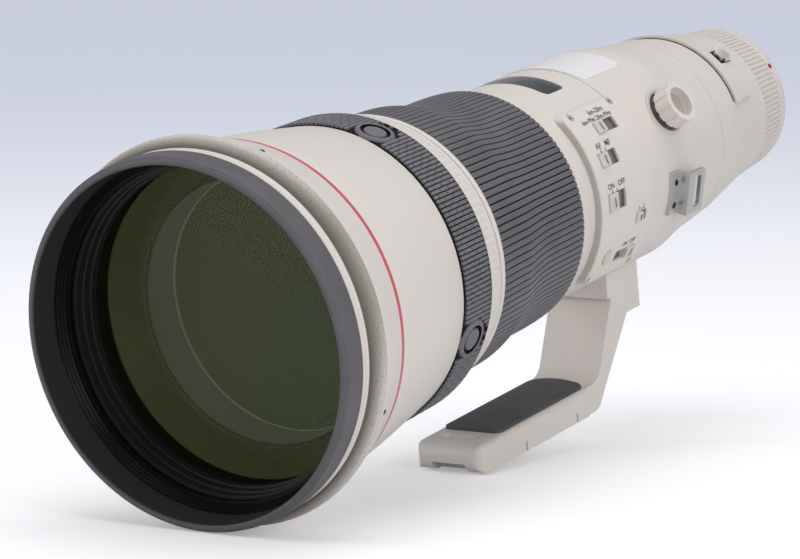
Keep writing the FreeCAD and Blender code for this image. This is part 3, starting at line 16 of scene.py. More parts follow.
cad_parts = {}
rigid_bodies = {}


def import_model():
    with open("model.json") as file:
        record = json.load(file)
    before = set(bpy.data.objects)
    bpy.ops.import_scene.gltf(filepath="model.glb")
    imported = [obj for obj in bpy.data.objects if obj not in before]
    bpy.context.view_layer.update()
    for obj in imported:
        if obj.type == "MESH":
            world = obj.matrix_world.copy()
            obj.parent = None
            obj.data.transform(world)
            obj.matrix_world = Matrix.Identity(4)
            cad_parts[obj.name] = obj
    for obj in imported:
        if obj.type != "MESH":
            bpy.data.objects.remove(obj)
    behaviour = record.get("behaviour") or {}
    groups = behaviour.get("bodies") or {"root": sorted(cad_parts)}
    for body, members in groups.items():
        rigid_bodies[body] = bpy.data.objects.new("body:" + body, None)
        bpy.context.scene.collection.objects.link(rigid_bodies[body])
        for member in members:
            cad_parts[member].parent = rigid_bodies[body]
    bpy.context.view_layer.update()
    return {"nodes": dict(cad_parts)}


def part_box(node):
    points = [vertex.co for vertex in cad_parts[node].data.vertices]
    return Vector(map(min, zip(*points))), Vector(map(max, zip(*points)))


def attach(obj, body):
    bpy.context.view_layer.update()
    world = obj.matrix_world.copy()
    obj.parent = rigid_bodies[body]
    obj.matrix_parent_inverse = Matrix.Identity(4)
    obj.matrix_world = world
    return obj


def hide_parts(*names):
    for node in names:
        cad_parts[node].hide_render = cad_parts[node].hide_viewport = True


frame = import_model()
nodes = frame["nodes"]
MM = 0.001

# %% [markdown]
# Stations along the lens are easiest to think of as distances behind the lip at the front of the
# bell. The mount flange lies 445 mm behind that lip, so a station becomes a Y coordinate by
# taking 445 away. Angles round the axis start at the top and grow towards +X.

# %% Stations and directions
FLANGE_STATION = 445


def at(station):
    """Y coordinate of a station in millimetres behind the lip."""
    return (station - FLANGE_STATION) * MM


def outward(angle):
    """Unit vector that points away from the axis at an angle in degrees."""
    turn = math.radians(angle)
    return Vector((math.sin(turn), 0, math.cos(turn)))


def onto_lens(angle, station, radius):
    """Matrix that stands a shape on the lens: Z outward, Y along the axis."""
    turn = Matrix.Rotation(math.radians(angle), 4, "Y")
    place = outward(angle) * radius * MM + Vector((0, at(station), 0))
    return Matrix.Translation(place) @ turn


# %% [markdown]
# A material in Blender is a graph of nodes. Writing sums with node names is slow to read, so a
# small class wraps a socket and lets plain arithmetic add the Math nodes.

# %% A class for shader sums
class Wire:
    """One output socket of a material graph."""

    def __init__(self, tree, socket):
        self.tree = tree
        self.socket = socket

    def math(self, operation, *others):
        """Add a Math node whose first input is this wire."""
        node = self.tree.nodes.new("ShaderNodeMath")
        node.operation = operation
        self.tree.links.new(self.socket, node.inputs[0])
        for number, other in enumerate(others, 1):
            feed(self.tree, other, node.inputs[number])
        return Wire(self.tree, node.outputs[0])

    def __add__(self, other):
        return self.math("ADD", other)

    __radd__ = __add__

    def __mul__(self, other):
        return self.math("MULTIPLY", other)

    __rmul__ = __mul__

    def __sub__(self, other):
        return self.math("SUBTRACT", other)

    def __rsub__(self, other):
        return (self * -1) + other

    def clamp(self):
        """Keep the value between 0 and 1."""
        return self.math("MINIMUM", 1).math("MAXIMUM", 0)


def feed(tree, value, socket):
    """Link a wire to a socket, or set the socket when the value is plain."""
    if isinstance(value, Wire):
        tree.links.new(value.socket, socket)
    else:
        socket.default_value = value


# %% [markdown]
# Every finish is a Principled shader. One method adds any other node: it takes the node's type,
# its settings and its inputs. The patterns read Object coordinates, which stay with the piece
# when it moves.

# %% A class for finishes
class Finish:
    """A material with its Principled shader."""

    def __init__(self, name, color, roughness, metallic=0.0, **fixed):
        self.material = bpy.data.materials.new(name)
        self.material.use_nodes = True
        self.tree = self.material.node_tree
        self.shader = self.tree.nodes["Principled BSDF"]
        self.set("Base Color", (*color, 1))
        self.set("Roughness", roughness)
        self.set("Metallic", metallic)
        for name_of_input, value in fixed.items():
            self.set(name_of_input.replace("_", " "), value)

    def set(self, name, value):
        feed(self.tree, value, self.shader.inputs[name])

    def node(self, kind, settings=None, inputs=None, output=0):
        """Add a node, set it up, feed its sockets by name or number, and return one output."""
        made = self.tree.nodes.new(kind)
        for name, value in (settings or {}).items():
            setattr(made, name, value)
        for key, value in (inputs or {}).items():
            feed(self.tree, value, made.inputs[key])
        return Wire(self.tree, made.outputs[output])

    def place(self):
        return self.node("ShaderNodeTexCoord", output="Object")

    def axis(self, number):
        """One coordinate of the place in metres: 0 is X, 1 is Y and 2 is Z."""
        return self.node("ShaderNodeSeparateXYZ", inputs={0: self.place()}, output=number)

    def from_axis(self):
        """Distance from the lens axis in metres."""
        side, up = self.axis(0), self.axis(2)
        return (side * side + up * up).math("SQRT")

    def noise(self, scale, detail):
        return self.node("ShaderNodeTexNoise", inputs={
            "Vector": self.place(), "Scale": scale, "Detail": detail})

    def mix(self, mask, first, second):
        """Blend two colours by a mask. Mix repeats its sockets' names, so numbers pick them."""
        colors = [color if isinstance(color, Wire) else (*color, 1) for color in (first, second)]
        return self.node("ShaderNodeMix", {"data_type": "RGBA"},
                         {0: mask, 6: colors[0], 7: colors[1]}, output=2)

    def bump(self, height, strength, distance):
        self.set("Normal", self.node("ShaderNodeBump", inputs={
            "Height": height, "Strength": strength, "Distance": distance}))


# %% [markdown]
# The barrel is painted in a warm off-white with a fine orange-peel surface. Two layers of noise
# do it: a broad one that moves the tint and the gloss a little, and a fine one that only feeds
# the bump.

# %% Warm white paint
WARM_WHITE = (0.69, 0.632, 0.585)
PAINT_ROUGHNESS = 0.42
PEEL_GRAIN = 2600


def shaded(color, share):
    """The same colour, darker for a share below 1 and lighter above it."""
    return tuple(part * share for part in color)


def paint(name, color, roughness=PAINT_ROUGHNESS, grain=PEEL_GRAIN):
    finish = Finish(name, color, roughness)
    broad = finish.noise(40, 3)
    finish.set("Base Color", finish.mix(broad * 0.35, color, shaded(color, 0.93)))
    finish.set("Roughness", roughness + (broad - 0.5) * 0.12)
    finish.bump(finish.noise(grain, 2), 0.25, 0.04 * MM)
    return finish


warm_white = paint("warm_white_paint", WARM_WHITE)
print("finish:", warm_white.material.name)

# %% [markdown]
# The cone between the lip and the crown is painted in greige with a fine dark speckle. Its tone
# also carries painted light and shade: it is nearly brown at the lip, as painted shade in the
# hollow there, a shaded greige over most of its height, where it turns away from the lamps, and a
# paler, lit greige low down and at the very top. A thin speckled line marks its rear edge. The
# rest of the bell is smooth and pale, so masks on the object's own coordinates choose between
# them. Fine noise pushed through a steep step makes the speckle, because a plain noise looks like
# fog.

# %% Bell paint with a speckled front cone
SHADED_GREIGE = (0.335, 0.300, 0.252)
LIT_GREIGE = (0.56, 0.53, 0.48)
LIP_SHADE_BROWN = (0.105, 0.090, 0.070)
SPECKLE_BROWN = (0.10, 0.09, 0.075)
LINE_BROWN = (0.09, 0.08, 0.07)
SPECKLE_GRAIN = 1500
CONE_START, CONE_END = 5.3, 12.25
LINE_START, LINE_END = 12.2, 12.55
LIP_SHADE_END = 6.2
SHADE_BAND_LOW, SHADE_BAND_HIGH = -0.018, 0.079


def between(wire, first, last, steep=4000):
    """1 where the wire lies between two stations, 0 elsewhere."""
    return ((wire - at(first)) * steep).clamp() * ((at(last) - wire) * steep).clamp()


bell_paint = Finish("bell_paint", WARM_WHITE, PAINT_ROUGHNESS)
along = bell_paint.axis(1)
up = bell_paint.axis(2)
cone = between(along, CONE_START, CONE_END)
edge_line = between(along, LINE_START, LINE_END)
speckle = ((bell_paint.noise(SPECKLE_GRAIN, 3) - 0.56) * 12).clamp()
broad = bell_paint.noise(36, 3)
smooth_tint = bell_paint.mix(broad * 0.35, WARM_WHITE, shaded(WARM_WHITE, 0.93))
# Painted shade and light: brown by the lip, shaded greige at mid height, lit greige above and
# below.
past_lip_shade = ((along - at(LIP_SHADE_END)) * 220).clamp()
height_shade = ((up - SHADE_BAND_LOW) * 30).clamp() * ((SHADE_BAND_HIGH - up) * 34).clamp()
cone_light_and_shade = bell_paint.mix(past_lip_shade, LIP_SHADE_BROWN, bell_paint.mix(height_shade, LIT_GREIGE, SHADED_GREIGE))
speckled = bell_paint.mix(speckle * 0.5, cone_light_and_shade, SPECKLE_BROWN)
tint = bell_paint.mix(cone, smooth_tint, speckled)
bell_paint.set("Base Color", bell_paint.mix(edge_line * (speckle * 0.5 + 0.5), tint, LINE_BROWN))
bell_paint.set("Roughness", PAINT_ROUGHNESS + cone * 0.2)
fine = bell_paint.noise(PEEL_GRAIN, 2)
bell_paint.bump(fine * 0.25 + cone * bell_paint.noise(SPECKLE_GRAIN, 3), 0.3, 0.08 * MM)
print("cone paint from station", CONE_START, "to", CONE_END)

# %% [markdown]
# Rubber is a dark grey that scatters light softly. Dust and handling make it a little lighter in
# places, so one broad noise moves the colour and one fine noise roughens the surface. The pad on
# the foot has a leather grain, which the cells of a Voronoi texture give.

# %% Rubber finishes
def rubber(name, color, roughness=0.62):
    finish = Finish(name, color, roughness)
    broad = finish.noise(60, 3)
    finish.set("Base Color", finish.mix(broad, shaded(color, 0.8), shaded(color, 1.3)))
    finish.set("Roughness", roughness + (finish.noise(900, 2) - 0.5) * 0.15)
    finish.bump(finish.noise(3200, 2), 0.3, 0.04 * MM)
    return finish


grip_rubber = rubber("grip_rubber", (0.135, 0.132, 0.142))
focus_black = rubber("focus_rubber", (0.104, 0.101, 0.110), 0.46)
black_plastic = rubber("black_plastic", (0.02, 0.02, 0.02), 0.4)
pad_rubber = rubber("pad_rubber", (0.062, 0.062, 0.065), 0.6)
leather = pad_rubber.node("ShaderNodeTexVoronoi", inputs={
    "Vector": pad_rubber.place(), "Scale": 900})
pad_rubber.bump(leather, 0.8, 0.3 * MM)
print("finishes so far:", len(bpy.data.materials))

# %% [markdown]
# The front ring is dark grey outside and dead black inside, where stray light has to be caught.
# A mask on the distance from the axis parts the two. The near black of the grooves, gaps and
# button wells is painted shade, which stands for the shade that falls in them. These blacks and
# those of the grooves and of the walls by the glass throw back little light, so their specular
# level is lowered.

# %% Blacks of the ring and the inner walls, and painted shade for the grooves
RING_BORE = 0.0748
BORE_BLACK = (0.004, 0.0035, 0.0045)
ring_black = rubber("front_ring_black", (0.075, 0.073, 0.079), 0.42)
inside = ((RING_BORE - ring_black.from_axis()) * 900).clamp()
outside_tint = ring_black.mix(ring_black.noise(60, 3), (0.096, 0.091, 0.098),
                              (0.128, 0.122, 0.130))
ring_black.set("Base Color", ring_black.mix(inside, outside_tint, BORE_BLACK))
# Painted shade: the near black that darkens grooves, gaps and button wells.
groove_black = rubber("groove_black", (0.012, 0.012, 0.013), 0.8)
inner_black = rubber("inner_black", (0.010, 0.010, 0.011), 0.5)
for finish, level in ((ring_black, 0.16), (groove_black, 0.1), (inner_black, 0.3)):
    finish.set("Specular IOR Level", level)

# %% [markdown]
# Bare and plated metal is the same shader with Metallic at 1. A fine noise darkens it a little
# and roughens it, as brushing and handling do.

# %% Metal finishes
def metal(name, color, roughness):
    finish = Finish(name, color, roughness, 1.0)
    grain = finish.noise(1400, 3)
    finish.set("Base Color", finish.mix(grain, shaded(color, 0.85), color))
    finish.set("Roughness", roughness + (grain - 0.5) * 0.15)
    finish.bump(grain, 0.2, 0.03 * MM)
    return finish


black_metal = metal("black_anodised", (0.05, 0.05, 0.052), 0.5)
silver = metal("silver_satin", (0.66, 0.65, 0.64), 0.34)
steel = metal("mount_steel", (0.72, 0.71, 0.69), 0.24)
bright_silver = metal("bright_silver", (0.92, 0.91, 0.89), 0.4)
dark_steel = metal("dark_screws", (0.10, 0.10, 0.10), 0.35)
gold = metal("gold_contacts", (0.83, 0.62, 0.28), 0.25)
print("finishes so far:", len(bpy.data.materials))

# %% [markdown]
# Small parts have paints of their own. The printed marks are worn black, and the red line is
# darker along its rear edge, which turns away from the light.

# %% Small paints and print
RED = (0.60, 0.080, 0.105)
DARK_RED = (0.24, 0.015, 0.025)
RED_EDGE = 35.55
switch_cream = paint("switch_cream", (0.60, 0.565, 0.525), 0.38)
screw_white = paint("screw_white", (0.42, 0.40, 0.375), 0.4)
preset_cream = paint("preset_cream", (0.62, 0.56, 0.41), 0.4)
label_metal = paint("label_plate_satin", (0.80, 0.79, 0.785), 0.28, 900)
board_green = paint("board_green", (0.03, 0.16, 0.07), 0.4)
print_black = Finish("printed_black", (0.02, 0.02, 0.022), 0.5)
print_black.set("Base Color", print_black.mix(print_black.noise(900, 2), (0.012, 0.012, 0.014),
                                              (0.035, 0.033, 0.035)))
red_paint = paint("red_line_paint", RED, 0.3)
rear_edge = ((red_paint.axis(1) - at(RED_EDGE)) * 6000).clamp()
red_paint.set("Base Color", red_paint.mix(rear_edge, RED, DARK_RED))

# %% [markdown]
# Coated glass lets most light through and throws back a little of it in colour. The inner glasses
# and the window are clear bodies with transmission. The front group is seen straight into, so its
# surfaces are thin dark veils instead. A weak, even glow gives each its olive tone; the glow is
# painted light, which stands for the light that a real coating throws back, and a low alpha lets
# the next surface show through. The deepest glass's glow is greener on its low right side and
# darker on its left, as a painted reflection.

# %% Glass finishes
GLASS_IOR = 1.52
VEIL_IOR = 1.32
VEIL_BLACK = (0.008, 0.009, 0.004)


def glass(name, tint, coat, roughness=0.0):
    finish = Finish(name, tint, roughness, 0.0, IOR=GLASS_IOR, Transmission_Weight=1.0)
    finish.set("Specular Tint", (*coat, 1))
    return finish


def veil(name, glow, alpha, roughness=0.08):
    """A thin dark surface with an even olive glow: painted light that stands for reflected light.
    """
    finish = Finish(name, VEIL_BLACK, roughness, 0.0, Alpha=alpha, IOR=VEIL_IOR)
    finish.set("Emission Strength", 1.0)
    cloud = finish.noise(16, 2)
    finish.set("Emission Color", finish.mix(cloud, shaded(glow, 0.75), shaded(glow, 1.25)))
    finish.set("Roughness", roughness + cloud * 0.05)
    return finish


front_coating = veil("front_coating", (0.004, 0.005, 0.002), 0.2)
second_coating = veil("second_coating", (0.056, 0.061, 0.034), 0.3, 0.15)
third_coating = veil("third_coating", (0.048, 0.060, 0.023), 1.0, 0.2)
# Painted reflection: the glow is greener on the low right side and darker on the left.
low_right_reflection = (third_coating.axis(2) * -9 + third_coating.axis(0) * 5 + 0.45).clamp()
left = (third_coating.axis(0) * -14).clamp()
green_reflection = third_coating.mix(low_right_reflection, (0.050, 0.060, 0.030), (0.033, 0.060, 0.024))
third_coating.set("Emission Color", third_coating.mix(left, green_reflection, (0.040, 0.045, 0.018)))
lining_olive = veil("lining_olive", (0.062, 0.070, 0.043), 1.0, 0.4)
deep_olive = veil("deep_olive_wall", (0.034, 0.037, 0.014), 1.0, 0.35)
edge_glow = veil("pale_glass_edge", (0.16, 0.18, 0.125), 1.0, 0.3)
inner_coating = glass("inner_coating", (0.80, 0.86, 0.70), (0.50, 0.85, 0.35))
clear_glass = glass("clear_glass", (0.9, 0.92, 0.9), (0.8, 0.9, 1.0))
window_glass = glass("window_clear", (0.5, 0.5, 0.5), (1.0, 1.0, 1.0), 0.05)
print("finishes so far:", len(bpy.data.materials))

# %% [markdown]
# The switch panel is painted like the barrel. Its pockets and its steep front wall are painted
# darker, as shade that falls in the pockets and on the wall, which faces away from the lamps.
# Masks on the distance from the axis, on the height and on the station pick these places.

# %% Panel paint
POCKET_RADIUS = 0.0533
POCKET_START, POCKET_END = 235, 274.5
POCKET_LOW, POCKET_HIGH = -0.0310, 0.0365
POCKET_SHADE = (0.21, 0.192, 0.172)
WALL_START, WALL_END = 229, 231.75
panel_paint = paint("panel_paint", WARM_WHITE)
along = panel_paint.axis(1)
up = panel_paint.axis(2)
# Painted shade in the pockets and on the front wall.
pocket = ((POCKET_RADIUS - panel_paint.from_axis()) * 4000).clamp()
pocket = pocket * between(along, POCKET_START, POCKET_END)
pocket = pocket * ((POCKET_HIGH - up) * 2000).clamp() * ((up - POCKET_LOW) * 2000).clamp()
wall = between(along, WALL_START, WALL_END, 1500)
wall_shaded = panel_paint.mix(wall, WARM_WHITE, shaded(WARM_WHITE, 0.72))
panel_paint.set("Base Color", panel_paint.mix(pocket, wall_shaded, POCKET_SHADE))

# %% [markdown]
# The lock knob stands over a narrow gap, and its cap is dished. The gap and the dish are darkened
# with painted shade. It points 60 degrees away from the top, so two sums turn the coordinates:
# one says how far a point stands out along the knob's own axis, and the other how far it lies
# across it.

# %% Knob paint
KNOB_SIDE, KNOB_UP = 0.866, 0.5
KNOB_STATION = 309
KNOB_GAP_REACH = 0.0543
DISH_RADIUS = 0.0068
KNOB_GAP_SHADE = (0.05, 0.045, 0.04)
knob_paint = paint("knob_paint", WARM_WHITE)
side = knob_paint.axis(0)
up = knob_paint.axis(2)
reach = side * KNOB_SIDE + up * KNOB_UP
across = side * KNOB_UP - up * KNOB_SIDE
along = knob_paint.axis(1) - at(KNOB_STATION)
# Painted shade in the gap under the knob and in the dish of its cap.
gap = ((KNOB_GAP_REACH - reach) * 2500).clamp()
dish = ((DISH_RADIUS - (along * along + across * across).math("SQRT")) * 3000).clamp()
dish_shaded = knob_paint.mix(dish, WARM_WHITE, shaded(WARM_WHITE, 0.6))
knob_paint.set("Base Color", knob_paint.mix(gap, dish_shaded, KNOB_GAP_SHADE))
print("knob paint, dished within", DISH_RADIUS, "m")

# %% [markdown]
# Each CAD node keeps its shape and gets one of these finishes. Nodes that need finer shapes than
# the CAD has are replaced further down.

# %% Finishes for the CAD nodes
CAD_FINISHES = {
    "main_tube": inner_black, "front_bell": bell_paint, "red_line": red_paint,
    "front_ring": ring_black, "front_cell": inner_black, "front_retainer": inner_black,
    "front_glass": front_coating, "band_sleeve": black_metal, "stop_band": grip_rubber,
    "stop_button_1": grip_rubber, "stop_button_2": grip_rubber, "stop_button_3": grip_rubber,
    "stop_button_4": grip_rubber, "playback_ring": warm_white, "front_trim": warm_white,
    "focus_sleeve": black_metal, "focus_grip": focus_black, "rear_trim": warm_white,
    "mid_barrel": warm_white, "window_glass": window_glass, "distance_drum": black_plastic,
    "switch_panel": panel_paint, "panel_screws": screw_white, "focus_limit_switch": switch_cream,
    "focus_mode_switch": switch_cream, "stabiliser_switch": switch_cream,
    "stabiliser_mode_switch": switch_cream, "focus_range_switch": switch_cream,
    "preset_button": preset_cream, "collar_ring": warm_white, "label_plate": label_metal,
    "foot": warm_white, "foot_pad": pad_rubber, "foot_screws": dark_steel,
    "lock_knob": knob_paint, "clamp_shoe": black_plastic, "strap_lugs": silver,
    "lug_screws": dark_steel, "taper_barrel": warm_white, "rear_housing": warm_white,
    "filter_holder": warm_white, "filter_glass": clear_glass, "filter_lock_right": silver,
    "filter_lock_left": silver, "ribbed_ring": warm_white, "mount_ring": steel,
    "mount_screws": steel, "contact_block": black_plastic, "contact_pins": gold,
    "rear_cell": inner_black, "rear_glass": inner_coating, "focus_cell": inner_black,
    "focus_glass": inner_coating, "focus_motor": black_metal, "iris_unit": inner_black,
    "stabiliser_carriage": inner_black, "stabiliser_cell": inner_black,
    "stabiliser_glass": inner_coating, "main_board": board_green,
}
for name, finish in CAD_FINISHES.items():
    mesh = nodes[name].data
    mesh.materials.clear()
    mesh.materials.append(finish.material)
print("dressed", len(CAD_FINISHES), "CAD nodes")

# %% [markdown]
# A finished bmesh becomes an object at the origin that rides on one body of the part. It is
# shaded smooth, but edges where the faces meet at more than a set angle stay sharp.

# %% Keeping a finished piece
def keep(bm, name, finish, body, sharp=32, groove=None, replaced=()):
    """Turn a bmesh into a piece that rides on a body and may stand for CAD nodes."""
    bmesh.ops.remove_doubles(bm, verts=bm.verts, dist=1e-7)
    bmesh.ops.recalc_face_normals(bm, faces=bm.faces)
    mesh = bpy.data.meshes.new(name)
    bm.to_mesh(mesh)
    bm.free()
    mesh.shade_smooth()
    mesh.set_sharp_from_angle(angle=math.radians(sharp))
    mesh.materials.append(finish.material)
    piece = bpy.data.objects.new(name, mesh)
    bpy.context.scene.collection.objects.link(piece)
    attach(piece, body)
    if groove:
        mesh.materials.append(groove.material)
    if replaced:
        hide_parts(*replaced)
    print(name, len(mesh.polygons), "faces")


# %% [markdown]
# Most of the lens is turned on a lathe, and Spin does the same: a flat outline goes round the
# axis. A corner of the outline may carry a rounding, which is bevelled before the spin, so every
# edge catches a thin highlight as a real one does.

# %% Turning helpers
LATHE_STEPS = 180


def rounded(bm, geom, radius, segments, affect="EDGES"):
    """Bevel edges, or the corners of an outline, by a radius in millimetres."""
    bmesh.ops.bevel(bm, geom=geom, offset=radius * MM, offset_type="OFFSET", segments=segments,
                    profile=0.5, affect=affect, material=-1)


def chain(bm, verts, closed=False):
    """Edges from each vertex to the next, with the closing edge first."""
    pairs = [(verts[-1], verts[0])] if closed else []
    return [bm.edges.new(pair) for pair in pairs + list(zip(verts, verts[1:]))]


def lathe(bm, outline, axis=(0, 1, 0), steps=LATHE_STEPS):
    """Spin an outline all the way round an axis."""
    bmesh.ops.spin(bm, geom=outline, cent=(0, 0, 0), axis=axis, steps=steps, angle=2 * math.pi,
                   use_merge=True)


def outline_loop(bm, profile, segments=4):
    """A closed flat outline of (radius, station[, rounding]) in the XY plane."""
    verts = [bm.verts.new((point[0] * MM, at(point[1]), 0)) for point in profile]
    bm.faces.new(verts)
    for vert, point in zip(verts, profile):
        if len(point) > 2:
            rounded(bm, [vert], point[2], segments, "VERTICES")
    bmesh.ops.delete(bm, geom=bm.faces[:], context="FACES_ONLY")
    return bm.verts[:] + bm.edges[:]


def turned(name, profile, finish, body, replaced=(), segments=4):
    """Spin an outline round the lens axis."""
    bm = bmesh.new()
    lathe(bm, outline_loop(bm, profile, segments))
    keep(bm, name, finish, body, replaced=replaced)


# %% [markdown]
# The front ring is a smooth black cylinder that ends in a thin rounded bead, with a groove behind
# the bead. Inside it a dark bore leads to a sloping ring with fine thread lines, a plain wall,
# three steps and then the glass.

# %% Front ring and the black wall in front of the glass
turned("front_rim", [
    (74.0, -9.6), (73.9, -10.5, 0.5), (74.4, -11.2, 0.5), (75.2, -11.45, 0.6), (76.1, -11.2, 0.5),
    (76.7, -10.6, 0.2), (76.85, -10.25), (77.1, -10.2, 0.1), (77.6, -9.4, 0.5), (77.6, 0.75, 0.5),
    (76.9, 0.95), (75.15, 0.95),
    (75.15, 6.95), (71.05, 6.95), (71.55, 6.1), (71.25, 5.95), (71.45, 5.6), (71.85, 5.65),
    (72.35, 4.8), (72.05, 4.65), (72.25, 4.3), (72.65, 4.35), (73.15, 3.5), (72.85, 3.35),
    (73.05, 3.0), (73.45, 3.05), (74.0, 2.0, 0.3),
], ring_black, "barrel", ["front_ring"])
turned("front_cell_wall", [
    (70.05, 7.35, 0.2), (71.75, 7.35), (71.75, 33.9), (66.8, 33.9), (66.8, 31.3), (70.05, 31.3),
    (70.05, 10.0), (70.6, 9.9), (70.6, 9.4), (70.05, 9.3),
], ring_black, "barrel", ["front_cell"])
turned("front_steps", [
    (69.9, 10.4), (69.9, 22.2), (66.8, 22.2), (66.8, 18.8, 0.2), (67.7, 18.6), (67.7, 14.8, 0.2),
    (68.5, 14.6), (68.5, 10.4, 0.2),
], inner_black, "barrel", ["front_retainer"])

# %% [markdown]
# Behind the front glass the photograph shows two more circles of glass, each smaller and deeper.
# A dark olive wall runs from the cell to the second glass, and the third one sits in the mouth of
# the tube with a pale edge. The olive and pale tones there are glows of painted light, and the
# pale edge stands for a reflection. A dome's depth grows with the square of the radius, which is
# close to an arc of a large circle.

# %% The front group of glasses
DOME_RINGS = 14


def dome_points(radius, edge, bulge):
    """Points from the axis out to the rim of a dome that bulges forwards."""
    shares = [ring / DOME_RINGS for ring in range(DOME_RINGS + 1)]
    return [(radius * share, edge - bulge * (1 - share ** 2)) for share in shares]


def turned_open(name, points, finish, body, replaced=()):
    """Spin an outline that starts and ends on the axis."""
    bm = bmesh.new()
    verts = [bm.verts.new((radius * MM, at(station), 0)) for radius, station in points]
    lathe(bm, verts + chain(bm, verts))
    keep(bm, name, finish, body, sharp=50, replaced=replaced)


turned_open("front_dome", dome_points(69.85, 22.75, 4.9) + [(69.85, 30.9), (0, 30.9)],
            front_coating, "barrel", ["front_glass"])
turned("olive_wall", [
    (66.7, 31.2), (67.5, 31.2), (67.5, 33.6), (59.2, 44.0), (57.6, 44.0), (57.6, 42.4),
], deep_olive, "barrel")
turned_open("second_glass", dome_points(57.5, 42.6, 3) + [(57.5, 43.6), (0, 43.6)],
            second_coating, "barrel")
turned("tube_lining", [
    (56.05, 44.2), (56.45, 44.2), (56.45, 63.9), (56.05, 63.9),
], lining_olive, "barrel")
turned("third_glass_edge", [
    (55.7, 62.0), (56.3, 62.0), (56.3, 63.0), (55.7, 63.0),
], edge_glow, "barrel")
turned_open("third_glass", dome_points(55.7, 63, 2.5) + [(55.7, 64), (0, 64)],
            third_coating, "barrel")

# %% [markdown]
# The bell is one turned shell with a smooth lip, a crinkled cone and crown, a step for the red
# line and a long flare behind it.

# %% Front bell and its red line
turned("bell_shell", [
    (77.5, 1.15, 0.5), (77.0, 4.3, 0.7), (77.15, 5.2, 0.4), (80.5, 9.4, 0.8),
    (81.45, 11.9, 0.5), (81.3, 12.9, 0.5), (74.75, 33.6, 0.15), (73.85, 33.72), (73.85, 36.25),
    (74.25, 36.3, 0.1), (71.75, 59, 14), (65.95, 95.3, 0.25), (59.6, 95.45), (59.6, 86.1),
    (62.9, 86.0), (68.8, 59), (72.0, 34), (72.0, 7.4), (75.3, 7.35), (75.3, 1.15),
], bell_paint, "barrel", ["front_bell"], segments=6)
turned("red_ring", [
    (73.9, 33.78), (74.72, 33.78, 0.2), (74.42, 35.85, 0.2), (74.1, 36.0), (73.9, 36.0),
], red_paint, "barrel", ["red_line"])

# %% [markdown]
# Ribbed rubber and knurled rings repeat one small shape round the axis. One rib is built from a
# few copies of the outline, each turned a little and moved in or out, joined by Bridge Loops.
# Spin with use_duplicate then repeats the rib, and Remove Doubles closes the ring. Where a groove
# finish is given, the first strip of each rib, in the groove, gets it: painted shade that makes
# the grooves darker than the ribs.

# %% A ring whose outline goes in and out
def fluted(name, outer, inner, columns, count, finish, body, replaced, groove=None):
    """Outer points carry True where a flute cuts them; columns are (share of pitch, depth)."""
    bm = bmesh.new()
    mark = bm.verts.layers.int.new("cut")
    verts = []
    for radius, station, cut in outer:
        vert = bm.verts.new((radius * MM, at(station), 0))
        vert[mark] = int(cut)
        verts.append(vert)
    verts += [bm.verts.new((radius * MM, at(station), 0)) for radius, station in inner]
    edges = chain(bm, verts, closed=True)
    pitch = 2 * math.pi / count
    loops = []
    for share, depth in columns:
        made = bmesh.ops.duplicate(bm, geom=verts + edges)["geom"]
        copied = [item for item in made if isinstance(item, bmesh.types.BMVert)]
        for vert in copied:
            if vert[mark]:
                vert.co.x -= depth * MM
        bmesh.ops.rotate(bm, verts=copied, cent=(0, 0, 0),
                         matrix=Matrix.Rotation(share * pitch, 3, "Y"))
        loops.append([item for item in made if isinstance(item, bmesh.types.BMEdge)])
    bmesh.ops.delete(bm, geom=verts, context="VERTS")
    strips = [bmesh.ops.bridge_loops(bm, edges=first + second)["faces"]
              for first, second in zip(loops, loops[1:])]
    if groove:
        for face in bm.faces:
            face.material_index = 0
        for face in strips[0]:
            face.material_index = 1
    bmesh.ops.spin(bm, geom=bm.verts[:] + bm.edges[:] + bm.faces[:], cent=(0, 0, 0),
                   axis=(0, 1, 0), steps=count - 1, angle=2 * math.pi - pitch,
                   use_duplicate=True)
    keep(bm, name, finish, body, groove=groove, replaced=replaced)


# %% [markdown]
# The focus ring's rubber has 120 straight ribs that run its whole length. Its waist makes them
# look bent. The grooves are narrow and square and darkened with painted shade; the ribs are
# slightly round.

# %% Focus grip
FOCUS_RIBS = 120
FOCUS_PROFILE = [(60.4, 136.4, False), (61.1, 136.9, True), (60.6, 144, True), (60.2, 152, True),
                 (59.95, 159, True), (59.75, 161.5, True), (59.15, 164.5, True),
                 (58.1, 169, True), (57.05, 174, True), (56.0, 180, True), (55.45, 186, True),
                 (55.3, 193, True), (55.2, 203, True), (54.9, 210, True), (54.5, 214.6, True),
                 (53.6, 215.0, False)]
fluted("focus_rubber", FOCUS_PROFILE,
       [(52.0, 215.0), (52.9, 187), (54.7, 174), (57.4, 160.5), (58.7, 136.4)],
       [(0, 1.1), (0.14, 1.1), (0.18, 0.1), (0.32, 0.0), (0.82, 0.0), (0.96, 0.1), (1, 1.1)],
       FOCUS_RIBS, focus_black, "focus_ring", ["focus_grip"], groove_black)

# %% [markdown]
# The narrow playback ring behind the band is metal with very fine ribs, and the trim rings on
# both sides of the focus ring are plain with rounded edges. The barrel tapers behind the collar
# and ends in a ring with broad ribs, by which it is held while the camera is put on.

